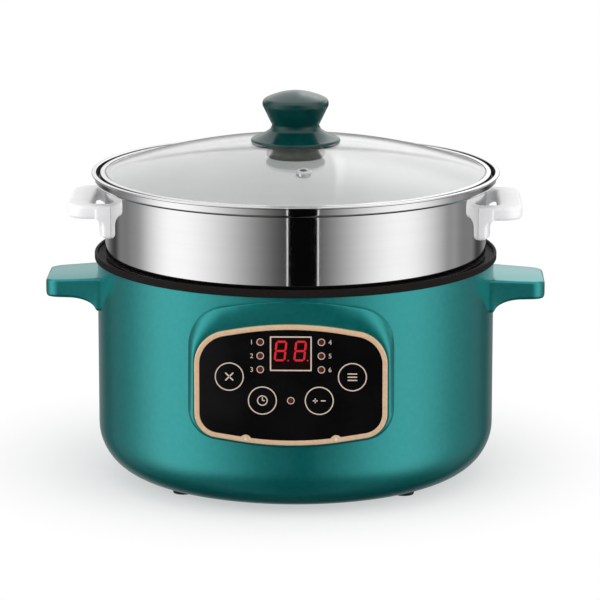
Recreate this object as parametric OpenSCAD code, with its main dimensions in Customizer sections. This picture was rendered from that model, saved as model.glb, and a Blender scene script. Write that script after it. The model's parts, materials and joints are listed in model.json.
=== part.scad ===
// Electric multicooker: a fixed pot in a round housing, with a lift-off steamer tier and glass lid.
// Millimetres. Z is up, the control panel faces -Y, the feet stand on Z = 0 and the axis is at the origin.

/* [Housing] */
// Outer diameter of the housing
body_d = 280; // [260:1:320]
// Height of the housing from its underside to the pot's rim
housing_h = 152; // [150:1:190]
// Wall of the housing
wall = 2.5; // [2:0.1:3]
// Radius of the rounded bottom edge
corner_r = 34; // [24:1:36]
// Diameter of the opening that the bottom cover closes
cover_d = 180; // [170:1:184]
// Width of the step that the bottom cover lies against
step_w = 8; // [6:0.5:10]
// Width of the flange at the top that carries the pot
flange_w = 9; // [6:0.5:10]

/* [Feet] */
// Height of the feet below the housing
foot_h = 3.5; // [2.5:0.5:8]
// Diameter of a foot's pad
foot_d = 16; // [12:1:18]
// Distance of the feet's axes from the edge of the bottom cover
foot_margin = 12; // [11:0.5:14]
// Angle of the feet from the side handles
foot_angle = 41; // [38:1:46]

/* [Pot] */
// Wall of the pot
pot_wall = 2; // [1.5:0.1:2.5]
// Width by which the rim stands out over the housing
rim_over = 2; // [1:0.1:3]
// Height of the rim above the housing
rim_h = 5; // [4:0.1:8]
// Width of the rim's upright lip
lip_w = 2.2; // [1.8:0.1:3]
// Width of the ledge that the steamer stands on
ledge_w = 14.3; // [13.6:0.1:16]
// Inner radius of the pot's bottom edge
pot_corner_r = 20; // [12:1:21]

/* [Heater] */
// Height of the space under the pot for the heater and the boards
bay_h = 54; // [52:1:62]
// Diameter of the heating plate
plate_d = 176; // [150:1:178]
// Thickness of the heating plate
plate_t = 5; // [4:0.5:8]
// Diameter of the heating element's loop
element_loop_d = 150; // [120:1:156]
// Diameter of the heating element's tube
element_d = 7; // [5:0.5:8]
// Opening angle between the two ends of the element
element_gap = 30; // [20:1:50]
// Length of the element's terminals
terminal_l = 12; // [9:0.5:13]
// Distance from the heating plate to the heat shield
shield_gap = 16; // [15:0.5:18]
// Thickness of the heat shield
shield_t = 0.8; // [0.5:0.1:1.2]
// Distance of the pot studs' axes from the edge of the bottom cover
stud_margin = 9; // [8.5:0.5:12]
// Height of the pads that the pot studs stand on
stud_pad_h = 3; // [2:0.5:4]
// Diameter of a pot stud above the heat shield
stud_d = 8; // [6:0.5:8.5]
// Diameter of the temperature sensor
sensor_d = 16; // [12:0.5:20]
// Length of the temperature sensor below the plate
sensor_drop = 6; // [4:0.5:8]
// Wire of the sensor spring
spring_wire = 1.2; // [0.8:0.1:1.6]
// Turns of the sensor spring
spring_turns = 3; // [2:1:4]

/* [Electronics] */
// Thickness of the circuit boards
board_t = 1.6; // [1.2:0.1:2]
// Width of the power board
power_w = 110; // [100:1:118]
// Depth of the power board
power_l = 90; // [84:1:100]
// Height of the power board over the bottom cover
standoff_h = 5; // [4:0.5:6]
// Width of the control board
control_w = 118; // [112:1:122]
// Height of the control board
control_h = 66; // [64:1:72]
// Distance from the control board to the inside of the panel plate
control_gap = 5.5; // [5.2:0.1:6]

/* [Panel] */
// Distance of the panel's centre from the housing's upper edge
panel_drop = 60; // [58:0.5:62]
// Width over the bezel
panel_w = 130.4; // [128:0.2:136]
// Height over the bezel
panel_h = 83.6; // [82:0.2:86]
// Slope of the upper and lower edges at the corners, in degrees
panel_slope = 9.5; // [6:0.5:10]
// Radius of the bow of the upper and lower edges
panel_bow_r = 220; // [160:5:230]
// Radius of the upper corners
panel_top_r = 23; // [18:0.5:25]
// Radius of the lower corners
panel_low_r = 17; // [14:0.5:22]
// Width of the bezel's frame
bezel_w = 3.4; // [2.6:0.1:4]
// Thickness of the bezel
bezel_t = 2.6; // [2.4:0.1:2.7]
// Thickness of the fascia
fascia_t = 2.2; // [2:0.1:2.3]
// Height of the boss in front of the housing
boss_proud = 0.9; // [0.7:0.1:1]
// Width of the boss beside the bezel
boss_side = 4.8; // [4:0.1:6]
// Height of the boss over the bezel
boss_top = 15; // [10:0.5:16]
// Height of the boss under the bezel
boss_low = 2.6; // [2:0.1:5]
// Distance of the bezel's tabs from the middle
tab_x = 30.7; // [26:0.1:36]
// Radius of a tab
tab_r = 4; // [3.4:0.1:4.6]

/* [Display, lamps and keys] */
// Width of the display window
window_w = 26; // [24:0.5:28]
// Height of the display window
window_h = 22; // [20:0.5:22.5]
// Height of the display over the panel's centre
window_z = 22; // [21:0.5:23]
// Distance of the lamp columns from the middle
lamp_x = 20.6; // [20:0.1:22]
// Height of the lowest lamp of a column over the panel's centre
lamp_z = 11; // [10:0.5:11.5]
// Distance between lamps
lamp_step = 9.5; // [8.5:0.1:10]
// Diameter of a lamp
lamp_d = 3.8; // [3:0.1:4]
// Diameter of a key
key_d = 20; // [18:0.2:20.4]
// Travel of a key
key_travel = 0.5; // [0.3:0.1:0.6]
// Distance of the outer keys from the middle
outer_key_x = 41.5; // [40.5:0.1:43]
// Height of the outer keys over the panel's centre
outer_key_z = 6; // [4:0.5:7]
// Distance of the inner keys from the middle
inner_key_x = 19.2; // [18:0.1:19.6]
// Height of the inner keys over the panel's centre
inner_key_z = -10.5; // [-12:0.5:-9]
// Diameter of a key's stem
stem_d = 6; // [5:0.2:6.6]

/* [Side handles] */
// Reach of the side handles from the housing's wall
handle_reach = 36; // [30:1:44]
// Width of a side handle at its root
handle_root_w = 64; // [58:1:70]
// Width of a side handle at its tip
handle_tip_w = 52; // [48:1:56]
// Radius of a side handle's corners
handle_tip_r = 17; // [10:0.5:20]
// Thickness of a side handle
handle_t = 14.5; // [12:0.5:16]
// Distance of a side handle's top from the housing's upper edge
handle_drop = 11; // [8:0.5:16]
// Fall of a side handle's top towards its tip
handle_fall = 2; // [0:0.2:3]
// Height of the fillet under a side handle
handle_fillet = 9; // [6:0.5:11]
// Width of the fillet under a side handle
handle_fillet_w = 19; // [8:0.5:20]

/* [Power inlet] */
// Height of the inlet's centre above the underside of the housing
inlet_z = 41; // [40:0.5:42]
// Width of the inlet's flange
inlet_w = 50; // [48:0.5:52]
// Height of the inlet's flange
inlet_h = 27; // [26:0.5:28]
// Thickness of the inlet's flange
inlet_t = 2.2; // [1.8:0.1:2.4]
// Depth of the socket
socket_depth = 16; // [14:0.5:17]

/* [Steamer] */
// Height of the steamer from the pot's ledge to its lip
steamer_h = 60; // [56:0.5:80]
// Sheet of the steamer
sheet = 0.8; // [0.6:0.1:1]
// Gap between the pot's lip and the steamer's wall
steamer_gap = 5.3; // [4.5:0.1:6]
// Radius of the shoulder
shoulder_r = 2; // [1.5:0.5:7.5]
// Depth of the collar that stands in the pot
collar_h = 10; // [6:0.5:14]
// Gap between the collar and the pot
collar_gap = 1; // [0.6:0.1:1.6]
// Width of the gutter's ledge outside the wall
gutter_w = 6.6; // [6.2:0.1:7]
// Height of the gutter
gutter_h = 7.8; // [7.4:0.1:8.4]
// Width by which the lip stands out from the gutter
gutter_flare = 2.5; // [2.4:0.1:3]
// Width of the lip's top
lip_top_w = 3.2; // [3:0.1:3.4]
// Thickness of the hemmed lip
hem_t = 1.6; // [1.2:0.1:1.8]
// Diameter of the steam holes
steam_hole_d = 5; // [3:0.5:6]
// Rings of steam holes
steam_rings = 5; // [3:1:6]
// Distance between rings of steam holes
steam_pitch = 20; // [16:1:20]

/* [Steamer handles] */
// Reach of the steamer handles from the wall
grip_reach = 24.5; // [22:0.5:30]
// Width of a steamer handle
grip_w = 84; // [76:1:88]
// Thickness of the grip
grip_t = 9.5; // [8:0.5:12]
// Width of the grip's bar
grip_bar = 17; // [14:0.5:18]
// Width of a handle's leg
leg_w = 12; // [10:0.5:13]
// Thickness of a handle's leg
leg_t = 6.2; // [5.5:0.1:7]
// Height of a handle's leg
leg_h = 23.5; // [19:0.5:26]
// Distance of the handle's top from the lip
grip_drop = 19; // [13:0.5:20]

/* [Lid] */
// Height of the dome over the glass edge
dome_h = 22.7; // [18:0.1:30]
// Thickness of the glass
glass_t = 4; // [3.4:0.1:4]
// Sheet of the lid's band
band_t = 0.6; // [0.5:0.1:0.7]
// Height of the lid's band
band_h = 6.5; // [6.4:0.1:7]
// Width of the fold over the glass
fold_w = 3.2; // [2.8:0.1:3.4]
// Gap between the lid's band and the lip around it
band_gap = 2.9; // [2.6:0.1:3.2]
// Width by which the lid's band draws in at its foot
band_taper = 2.1; // [1.8:0.1:2.4]
// Distance of the steam vent from the axis
vent_reach = 82.5; // [70:0.5:100]
// Direction of the steam vent
vent_angle = -85; // [-120:1:-60]
// Diameter of the vent's flange
vent_d = 11.6; // [11:0.2:13]
// Bore of the vent
vent_bore = 4.8; // [3:0.2:5]

/* [Knob] */
// Diameter of the knob's skirt
skirt_d = 63; // [58:1:68]
// Diameter of the knob's waist
waist_d = 33.4; // [30:0.2:36]
// Diameter of the knob's head
head_d = 46.6; // [44:0.2:52]
// Height of the knob's waist
waist_h = 11.3; // [10:0.1:13]
// Height of the head's widest point
head_h = 26.6; // [25:0.1:28]
// Height of the knob
knob_h = 35.5; // [34:0.5:40]
// Diameter of the seat under the glass
seat_d = 41; // [36:0.5:44]
// Height of the seat under the glass
seat_h = 10.3; // [9:0.1:12]

/* [Fits] */
// Gap between pieces that fit together
fit = 0.2; // [0.15:0.05:0.25]
// Gap around keys and at the seats of lift-off pieces
slide = 0.3; // [0.25:0.05:0.35]
// Diameter of the larger screws
screw_d = 4; // [3:0.2:4.4]
// Diameter of the smaller screws
small_screw_d = 2.6; // [2:0.2:3]
// Height of a screw's head
screw_head_h = 1.8; // [1.4:0.1:2]

/* [Hidden] */
$fn = 96;

TEAL = [0.09, 0.52, 0.50];
DARK_TEAL = [0.02, 0.28, 0.27];
BLACK = [0.10, 0.10, 0.10];
GOLD = [0.86, 0.71, 0.56];
STEEL = [0.80, 0.80, 0.80];
WHITE = [0.95, 0.95, 0.95];
BOARD_GREEN = [0.10, 0.40, 0.20];
BROWN = [0.45, 0.30, 0.15];
GREY = [0.55, 0.55, 0.58];
RED = [0.55, 0.05, 0.05];

// Heights
z_base = foot_h;
z_top = z_base + housing_h;
z_rim = z_top + rim_h;
z_ledge = z_top + pot_wall;
z_pot_under = z_base + bay_h;
z_plate = z_pot_under - plate_t;
z_shield = z_plate - shield_gap;
z_cover_top = z_base + wall;
z_power = z_cover_top + standoff_h;
z_power_top = z_power + board_t;
z_panel = z_top - panel_drop;
z_seat = z_ledge + slide;
z_lip = z_ledge + steamer_h;
z_gutter = z_lip - gutter_h;
z_band = z_gutter + sheet + slide;
z_band_top = z_band + band_h;

// Radii, from the housing inwards to the pot and outwards again to the steamer and the lid
body_r = body_d / 2;
cover_r = cover_d / 2;
rim_r = body_r + rim_over;
lip_r = rim_r - lip_w;
pot_r = lip_r - ledge_w;
shell_r = lip_r - steamer_gap;
collar_r = pot_r - collar_gap;
gutter_r = shell_r + gutter_w;
steamer_lip_r = gutter_r + gutter_flare;
band_r = steamer_lip_r - lip_top_w - band_gap;
band_low_r = band_r - band_taper;
glass_r = band_low_r - fit;

// Lid dome: the sphere through the glass edge and the crown
z_glass_edge = z_band_top - band_t - slide;
dome_r = (glass_r * glass_r + dome_h * dome_h) / (2 * dome_h);
z_crown = z_glass_edge + dome_h;
z_dome = z_crown - dome_r;
vent_tilt = asin(vent_reach / dome_r);

// Panel layers, as distances in front of the axis
boss_y = body_r + boss_proud;
fascia_y = boss_y + fascia_t;
bezel_y = boss_y + bezel_t;
plate_y = body_r - wall;
control_y = plate_y - control_gap;
boss_root_y = body_r - 0.2;
boss_rim = 1.2;
key_t = fascia_t - key_travel - fit;
lamp_spots = [for (side = [-1, 1], i = [0:2]) [side * lamp_x, lamp_z + i * lamp_step], [0, inner_key_z]];
control_z = 0.5;
control_margin = [5, 4];
control_spots = [for (sx = [-1, 1], sz = [-1, 1])
    [sx * (control_w / 2 - control_margin.x), control_z + sz * (control_h / 2 - control_margin.y)]];

// Power inlet
pad_proud = 0.6;
pad_margin = 3;
pad_y = body_r + pad_proud;
inlet_y = pad_y + inlet_t;
socket_w = 24;
socket_h = 16;
socket_wall = 2.5;
inlet_corner_r = 4;
inlet_head_h = 0.8;
pin_size = [2.2, 4];
pin_reach = socket_depth - pin_size.y;
pin_spots = [[-7, -2], [7, -2], [0, 3]];

// Depth by which a cut runs past the face that it opens
past = 1;
// Depth by which a shape is sunk into the one that carries it
sunk = 0.5;
// Thickness of the two faces that a hull joins
skin = 0.1;

function unit(v) = v / norm(v);

// Points of the arc that rounds the corner b between a and c
function corner_arc(a, b, c, r, n) =
    let (
        u = unit(a - b), v = unit(c - b), half = acos(u * v) / 2,
        o = b + unit(u + v) * r / sin(half),
        p = b + u * r / tan(half) - o, q = b + v * r / tan(half) - o,
        start = atan2(p.y, p.x), turn = (atan2(q.y, q.x) - start + 540) % 360 - 180
    )
    [for (i = [0:n]) o + r * [cos(start + turn * i / n), sin(start + turn * i / n)]];

// A polygon's points with each corner [x, y, radius] rounded
function rounded(corners, n = 8) =
    let (count = len(corners), at = function(i) [corners[i % count].x, corners[i % count].y])
    [for (i = [0:count - 1])
        each corners[i].z == 0 ? [at(i)] : corner_arc(at(i + count - 1), at(i), at(i + 1), corners[i].z, n)];

function bezier(a, b, c, d, n) =
    [for (i = [0:n]) let (t = i / n, s = 1 - t) s*s*s * a + 3*s*s*t * b + 3*s*t*t * c + t*t*t * d];

// Barrel outline: straight sides, bowed upper and lower edges, rounded corners
function barrel(half_w, top, low, r_top, r_low, bow) =
    let (
        peak = bow * (1 / cos(panel_slope) - 1),
        fall = half_w * tan(panel_slope),
        up = top + peak, down = low + peak
    )
    rounded([
        [0, up, bow], [half_w, up - fall, r_top], [half_w, fall - down, r_low],
        [0, -down, bow], [-half_w, fall - down, r_low], [-half_w, up - fall, r_top]
    ]);

// Panel outline, grown by g
function panel_outline(g) =
    let (half_w = panel_w / 2 + g, half_h = panel_h / 2 + g)
    barrel(half_w, half_h, half_h, panel_top_r + g, panel_low_r + g, panel_bow_r + g);

// Boss outline, drawn in by g
function boss_outline(g) =
    barrel(
        panel_w / 2 + boss_side - g, panel_h / 2 + boss_top - g, panel_h / 2 + boss_low - g,
        panel_top_r + boss_side - g, panel_low_r + boss_side - g, panel_bow_r - g
    );

function box_outline(w, h, r) = rounded([[-w/2, -h/2, r], [w/2, -h/2, r], [w/2, h/2, r], [-w/2, h/2, r]]);

// Stands a flat shape up against the panel: its front at distance y in front of the axis, t thick
module on_panel(y, t) {
    translate([0, -y, z_panel]) rotate([90, 0, 0]) mirror([0, 0, 1]) linear_extrude(t) children();
}

// Stands a flat shape up against the back: its front at distance y behind the axis, t thick
module on_back(y, t) {
    translate([0, y, z_base + inlet_z]) rotate([90, 0, 0]) linear_extrude(t) children();
}

// Half section of a solid cup with a rounded bottom edge
module cup(r, z0, z1, edge) {
    translate([0, z0]) square([r - edge, z1 - z0]);
    translate([0, z0 + edge]) square([r, z1 - z0 - edge]);
    translate([r - edge, z0 + edge]) circle(edge);
}

module at_angles(angles, reach) {
    for (a = angles) rotate([0, 0, a]) translate([reach, 0, 0]) children();
}

// Pan-head screw standing on its head's underside at the origin, shank along +Z
module screw(d, length) {
    translate([0, 0, -screw_head_h]) cylinder(d = 2 * d, h = screw_head_h);
    translate([0, 0, -sunk]) cylinder(d = d, h = length + sunk);
}

foot_angles = [for (i = [0:1], s = [-1, 1]) 180 * i + s * foot_angle];
stud_angles = [90, 210, 330];
stud_base_d = stud_d + 2;
stud_reach = max(cover_r + stud_margin, (plate_d + stud_base_d) / 2 + slide);
foot_reach = cover_r + foot_margin;
z_stud = z_cover_top + stud_pad_h;
cover_angles = [45, 135, 225, 315];
cover_screw_reach = cover_r - step_w / 2;
cover_screw_l = 2 * wall;
stud_screw_l = wall + stud_pad_h + 2 * screw_d;
handle_screw_y = 16;
handle_screw_l = 18;
z_handle_top = z_top - handle_drop;
z_handle_screw = z_handle_top - (handle_t + handle_fall) / 2;
handle_wall_x = sqrt(pow(body_r - wall, 2) - pow(handle_screw_y + screw_d, 2)) - fit;

module handle_screw_axes() {
    for (s = [-1, 1]) translate([handle_wall_x, s * handle_screw_y, z_handle_screw]) rotate([0, 90, 0])
        children();
}

module housing_solid() {
    rotate_extrude() cup(body_r, z_base, z_top, corner_r);
    on_panel(boss_root_y, body_r / 2) polygon(boss_outline(0));
    hull() {
        on_panel(boss_root_y, skin) polygon(boss_outline(0));
        on_panel(boss_y, skin) polygon(panel_outline(boss_rim));
    }
    on_back(pad_y, body_r / 2)
        polygon(box_outline(inlet_w + 2 * pad_margin, inlet_h + 2 * pad_margin, inlet_corner_r + pad_margin));
}

module housing_space() {
    difference() {
        rotate_extrude() {
            difference() {
                cup(body_r - wall, z_cover_top, z_top - wall, corner_r - wall);
                translate([cover_r - step_w, z_base]) square([step_w + wall, 2 * wall]);
            }
            translate([0, z_top - 2 * wall]) square([body_r - flange_w, 3 * wall]);
            translate([0, z_base - past]) square([cover_r, wall + past]);
            translate([0, z_base]) square([cover_r - step_w, 3 * wall]);
        }
        at_angles(stud_angles, stud_reach) translate([0, 0, z_base])
            cylinder(d = stud_base_d, h = z_stud - z_base);
    }
    on_panel(plate_y, body_r / 3) polygon(boss_outline(wall));
}

module panel_holes() {
    translate([0, window_z]) square([window_w + 2 * slide, window_h + 2 * slide], center = true);
    for (p = lamp_spots) translate(p) circle(d = lamp_d + 2 * slide);
}

module housing() {
    color(TEAL) {
        difference() {
            housing_solid();
            housing_space();
            on_panel(boss_y + past, wall + boss_proud + 2 * past) {
                panel_holes();
                for (p = key_spots) translate(p) circle(d = stem_d + 2 * slide);
            }
            on_back(pad_y + past, body_r / 4) {
                square([socket_body.x + 2 * fit, socket_body.y + 2 * fit], center = true);
                for (s = [-1, 1]) translate([s * inlet_screw_x, 0]) circle(d = small_screw_d + 2 * fit);
            }
            for (m = [0, 1]) mirror([m, 0, 0]) handle_screw_axes()
                cylinder(d = screw_d + 2 * fit, h = handle_screw_l);
            at_angles(foot_angles, foot_reach) translate([0, 0, z_base - past])
                cylinder(d = foot_stem_d + 2 * fit, h = wall + 2 * past);
            at_angles(stud_angles, stud_reach) translate([0, 0, z_base - past])
                cylinder(d = screw_d + 2 * fit, h = wall + stud_pad_h + 2 * past);
            at_angles(cover_angles, cover_screw_reach) translate([0, 0, z_base])
                cylinder(d = small_screw_d + 2 * fit, h = 3 * wall);
        }
        for (p = control_spots) difference() {
            on_panel(plate_y + sunk, control_gap + sunk) translate(p) circle(d = post_d);
            on_panel(plate_y, control_gap + past) translate(p) circle(d = small_screw_d + 2 * fit);
        }
    }
}

key_spots = [
    [-outer_key_x, outer_key_z], [outer_key_x, outer_key_z],
    [-inner_key_x, inner_key_z], [inner_key_x, inner_key_z]
];
post_d = small_screw_d + 4.2;
socket_body = [socket_w + 2 * socket_wall, socket_h + 2 * socket_wall];
inlet_screw_x = (inlet_w + socket_body.x) / 4;
foot_stem_d = 6;
foot_taper = 2;
vent_slot = [3, 24];
vent_slot_pitch = 8;
vent_slot_y = 52;

module bottom_cover() {
    color(BLACK) {
        difference() {
            translate([0, 0, z_base]) cylinder(r = cover_r - slide, h = wall);
            at_angles(cover_angles, cover_screw_reach) translate([0, 0, z_base - past])
                cylinder(d = small_screw_d + 2 * fit, h = wall + 2 * past);
            for (i = [-3:3]) translate([i * vent_slot_pitch, vent_slot_y, z_base])
                cube([vent_slot.x, vent_slot.y, 3 * wall], center = true);
        }
        for (p = power_spots) translate([p.x, p.y, z_cover_top - sunk])
            cylinder(d = standoff_d, h = standoff_h + sunk);
    }
}

power_y = -30;
power_margin = 14;
standoff_d = 7;
power_spots = [for (sx = [-1, 1], sy = [-1, 1])
    [sx * (power_w / 2 - power_margin), power_y + sy * (power_l / 2 - power_margin)]];

module feet() {
    color(BLACK) at_angles(foot_angles, foot_reach) {
        cylinder(d1 = foot_d - foot_taper, d2 = foot_d, h = z_base);
        cylinder(d = foot_stem_d, h = z_base + wall);
    }
}

module cover_screws() {
    color(STEEL) at_angles(cover_angles, cover_screw_reach) translate([0, 0, z_base])
        screw(small_screw_d, cover_screw_l);
}

// Right side handle: its plan and its side view, cut to fit the round housing
module side_handle() {
    root_x = body_r - handle_root_w / 4;
    tip_x = body_r + handle_reach;
    draft = 1;
    top_edge_r = 4;
    low_edge_r = 3;
    plan = rounded([
        [root_x, -handle_root_w / 2, 0], [tip_x, -handle_tip_w / 2, handle_tip_r],
        [tip_x, handle_tip_w / 2, handle_tip_r], [root_x, handle_root_w / 2, 0]
    ]);
    low = -handle_t;
    foot = low - handle_fillet - past;
    view = concat(
        rounded([
            [root_x, 0, 0], [body_r, 0, 0], [tip_x, -handle_fall, top_edge_r],
            [tip_x - draft, low, low_edge_r], [body_r + handle_fillet_w + past, low, 0]
        ]),
        bezier([body_r + handle_fillet_w, low], [body_r + handle_fillet_w / 2, low],
               [body_r, low - handle_fillet / 2], [body_r, low - handle_fillet], 8),
        [[body_r, foot], [root_x, foot]]
    );
    color(TEAL) difference() {
        intersection() {
            translate([0, 0, z_base]) linear_extrude(housing_h) polygon(plan);
            translate([0, handle_root_w, z_handle_top]) rotate([90, 0, 0])
                linear_extrude(2 * handle_root_w) polygon(view);
        }
        cylinder(r = body_r + fit, h = z_top);
        handle_screw_axes() cylinder(d = screw_d + 2 * fit, h = handle_screw_l + past);
    }
}

module side_handle_right() { side_handle(); }

module side_handle_left() { mirror([1, 0, 0]) side_handle(); }

module handle_screws() {
    color(STEEL) for (m = [0, 1]) mirror([m, 0, 0]) handle_screw_axes() screw(screw_d, handle_screw_l);
}

module inner_pot() {
    color(BLACK) rotate_extrude() difference() {
        union() {
            cup(pot_r + pot_wall, z_pot_under, z_ledge, pot_corner_r + pot_wall);
            translate([0, z_top]) square([rim_r, rim_h - lip_w / 2]);
            translate([rim_r - lip_w / 2, z_rim - lip_w / 2]) circle(d = lip_w);
        }
        cup(pot_r, z_pot_under + pot_wall, z_rim + past, pot_corner_r);
        translate([0, z_ledge]) square([lip_r, rim_h]);
    }
}

module pot_studs() {
    color(STEEL) at_angles(stud_angles, stud_reach) difference() {
        union() {
            translate([0, 0, z_stud]) cylinder(d = stud_base_d, h = z_shield - shield_t - z_stud);
            translate([0, 0, z_stud]) cylinder(d = stud_d, h = z_pot_under - z_stud);
        }
        translate([0, 0, z_base]) cylinder(d = screw_d + 2 * fit, h = stud_screw_l + past);
    }
}

module stud_screws() {
    color(STEEL) at_angles(stud_angles, stud_reach) translate([0, 0, z_base]) screw(screw_d, stud_screw_l);
}

module element_loop(d) {
    rotate([0, 0, -90 + element_gap / 2]) rotate_extrude(angle = 360 - element_gap)
        translate([element_loop_d / 2, z_plate]) circle(d = d);
}

terminal_angles = [-90 - element_gap / 2, -90 + element_gap / 2];
terminal_d = 0.7 * element_d;

module heating_plate() {
    color(STEEL) difference() {
        translate([0, 0, z_plate]) cylinder(d = plate_d, h = plate_t);
        translate([0, 0, z_plate - past]) cylinder(d = sensor_d + 2 * slide, h = plate_t + 2 * past);
        rotate_extrude() translate([element_loop_d / 2, z_plate]) circle(d = element_d + 2 * fit);
    }
}

module heating_element() {
    color(GREY) {
        element_loop(element_d);
        at_angles(terminal_angles, element_loop_d / 2) translate([0, 0, z_plate - terminal_l])
            cylinder(d = terminal_d, h = terminal_l);
    }
}

module heat_shield() {
    color(STEEL) difference() {
        translate([0, 0, z_shield - shield_t]) cylinder(r = stud_reach + stud_base_d / 2, h = shield_t);
        at_angles(stud_angles, stud_reach) translate([0, 0, z_shield - 2 * shield_t])
            cylinder(d = stud_d + 2 * fit, h = 4 * shield_t);
        at_angles(terminal_angles, element_loop_d / 2) translate([0, 0, z_shield - 2 * shield_t])
            cylinder(d = terminal_d + 2 * lead_d, h = 4 * shield_t);
    }
}

module temperature_sensor() {
    flange_w = 2.5;
    flange_t = 2;
    color(STEEL) {
        translate([0, 0, z_plate - sensor_drop]) cylinder(d = sensor_d, h = sensor_drop + plate_t);
        translate([0, 0, z_plate - sensor_drop]) cylinder(d = sensor_d + 2 * flange_w, h = flange_t);
    }
}

// Wire wound on a cylinder from the shield up to the sensor
module sensor_spring() {
    z0 = z_shield + spring_wire / 2 + fit;
    z1 = z_plate - sensor_drop - spring_wire / 2 - fit;
    rings = 20 * spring_turns;
    sides = 6;
    coil_r = sensor_d / 2 - spring_wire;
    points = [for (i = [0:rings], k = [0:sides - 1])
        let (a = 360 * spring_turns * i / rings, b = 360 * k / sides, r = coil_r + spring_wire / 2 * cos(b))
        [r * cos(a), r * sin(a), z0 + (z1 - z0) * i / rings + spring_wire / 2 * sin(b)]];
    walls = [for (i = [0:rings - 1], k = [0:sides - 1])
        let (a = i * sides + k, b = i * sides + (k + 1) % sides)
        each [[a, b, b + sides], [a, b + sides, a + sides]]];
    caps = [for (k = [1:sides - 2]) each [[0, k + 1, k], rings * sides * [1, 1, 1] + [0, k, k + 1]]];
    color(STEEL) polyhedron(points, concat(walls, caps));
}

// A small tube in a clip under the heating plate
module thermal_fuse() {
    fuse_x = 40;
    fuse_d = 5;
    fuse_l = 14;
    clip = [18, 10, 2];
    web = [fuse_l, fuse_d / 2, fuse_d];
    color(WHITE) translate([fuse_x, 0, z_plate - clip.z]) {
        translate([-clip.x / 2, -clip.y / 2, 0]) cube(clip);
        translate([-fuse_l / 2, 0, -fuse_d / 2]) rotate([0, 90, 0]) cylinder(d = fuse_d, h = fuse_l);
        translate([-web.x / 2, -web.y / 2, sunk - web.z / 2]) cube([web.x, web.y, web.z / 2]);
    }
}

module power_board() {
    color(BOARD_GREEN) translate([-power_w / 2, power_y - power_l / 2, z_power])
        cube([power_w, power_l, board_t]);
}

module relay() {
    case = [20, 16, 15];
    color([0.15, 0.25, 0.55]) translate([power_w / 4, power_y, z_power_top + case.z / 2])
        cube(case, center = true);
}

// A core with its winding through the middle
module transformer() {
    core = [26, 22, 16];
    winding = [32, 12, 10];
    color([0.75, 0.65, 0.15]) translate([-power_w / 4, power_y, z_power_top + core.z / 2]) {
        cube(core, center = true);
        cube(winding, center = true);
    }
}

module capacitors() {
    can_d = 8;
    can_h = 13;
    pitch = 12;
    color(BLACK) for (i = [-1:1]) translate([i * pitch, power_y + power_l / 3, z_power_top])
        cylinder(d = can_d, h = can_h);
}

module control_board() {
    color(BOARD_GREEN) on_panel(control_y, board_t) difference() {
        translate([0, control_z]) square([control_w, control_h], center = true);
        for (p = control_spots) translate(p) circle(d = small_screw_d + 2 * fit);
    }
}

module control_screws() {
    color(STEEL) for (p = control_spots) translate([p.x, board_t - control_y, z_panel + p.y])
        rotate([90, 0, 0]) screw(small_screw_d, board_t + control_gap - sunk);
}

module display_module() {
    color(BLACK) on_panel(boss_y - fit, boss_y - fit - control_y) translate([0, window_z])
        square([window_w - 2 * sunk, window_h - 2 * sunk], center = true);
}

module display_window() {
    color([0.2, 0.02, 0.02]) on_panel(fascia_y, fascia_t) translate([0, window_z])
        square([window_w, window_h], center = true);
}

module indicator_lamps() {
    color(RED) for (p = lamp_spots) on_panel(fascia_y, fascia_y - control_y) translate(p) circle(d = lamp_d);
}

switch_w = 6;
switch_h = 3.4;
plunger_d = 3.4;
plunger_h = 1;

module key_switches() {
    color(BLACK) for (p = key_spots) {
        on_panel(control_y + switch_h, switch_h) translate(p) square(switch_w, center = true);
        on_panel(control_y + switch_h + plunger_h, plunger_h + sunk) translate(p) circle(d = plunger_d);
    }
}

tab_sink = 0.2;
tab_z = bezel_w - tab_r / 2 - panel_h / 2;
stud_head_d = 0.6 * tab_r;
stud_head_z = tab_z + tab_r / 4;

module tabs(grow) {
    for (s = [-1, 1]) translate([s * tab_x, tab_z]) circle(r = tab_r + grow);
}

module panel_bezel() {
    color(GOLD) difference() {
        union() {
            on_panel(bezel_y, bezel_t) difference() {
                polygon(panel_outline(0));
                polygon(panel_outline(-bezel_w));
            }
            on_panel(fascia_y - tab_sink, fascia_t - tab_sink) intersection() {
                tabs(0);
                polygon(panel_outline(-bezel_w / 2));
            }
        }
        on_panel(bezel_y + past, bezel_t + 2 * past) tab_centres() circle(d = stud_head_d + 2 * fit);
    }
}

module tab_centres() {
    for (s = [-1, 1]) translate([s * tab_x, stud_head_z]) children();
}

module bezel_studs() {
    color(STEEL) on_panel(bezel_y, bezel_t) tab_centres() circle(d = stud_head_d);
}

module panel_fascia() {
    color(BLACK) on_panel(fascia_y, fascia_t) difference() {
        polygon(panel_outline(-bezel_w - fit));
        tabs(fit);
        panel_holes();
        for (p = key_spots) translate(p) circle(d = key_d + 2 * slide);
    }
}

// A key's cap, flush with the fascia, and its stem to the switch
module key(spot) {
    stem_y = control_y + switch_h + plunger_h + key_travel + fit;
    color(BLACK) {
        on_panel(fascia_y, key_t) translate(spot) circle(d = key_d);
        on_panel(fascia_y - key_t / 2, fascia_y - key_t / 2 - stem_y) translate(spot) circle(d = stem_d);
    }
}

module key_outer_left() { key(key_spots[0]); }

module key_outer_right() { key(key_spots[1]); }

module key_inner_left() { key(key_spots[2]); }

module key_inner_right() { key(key_spots[3]); }

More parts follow.
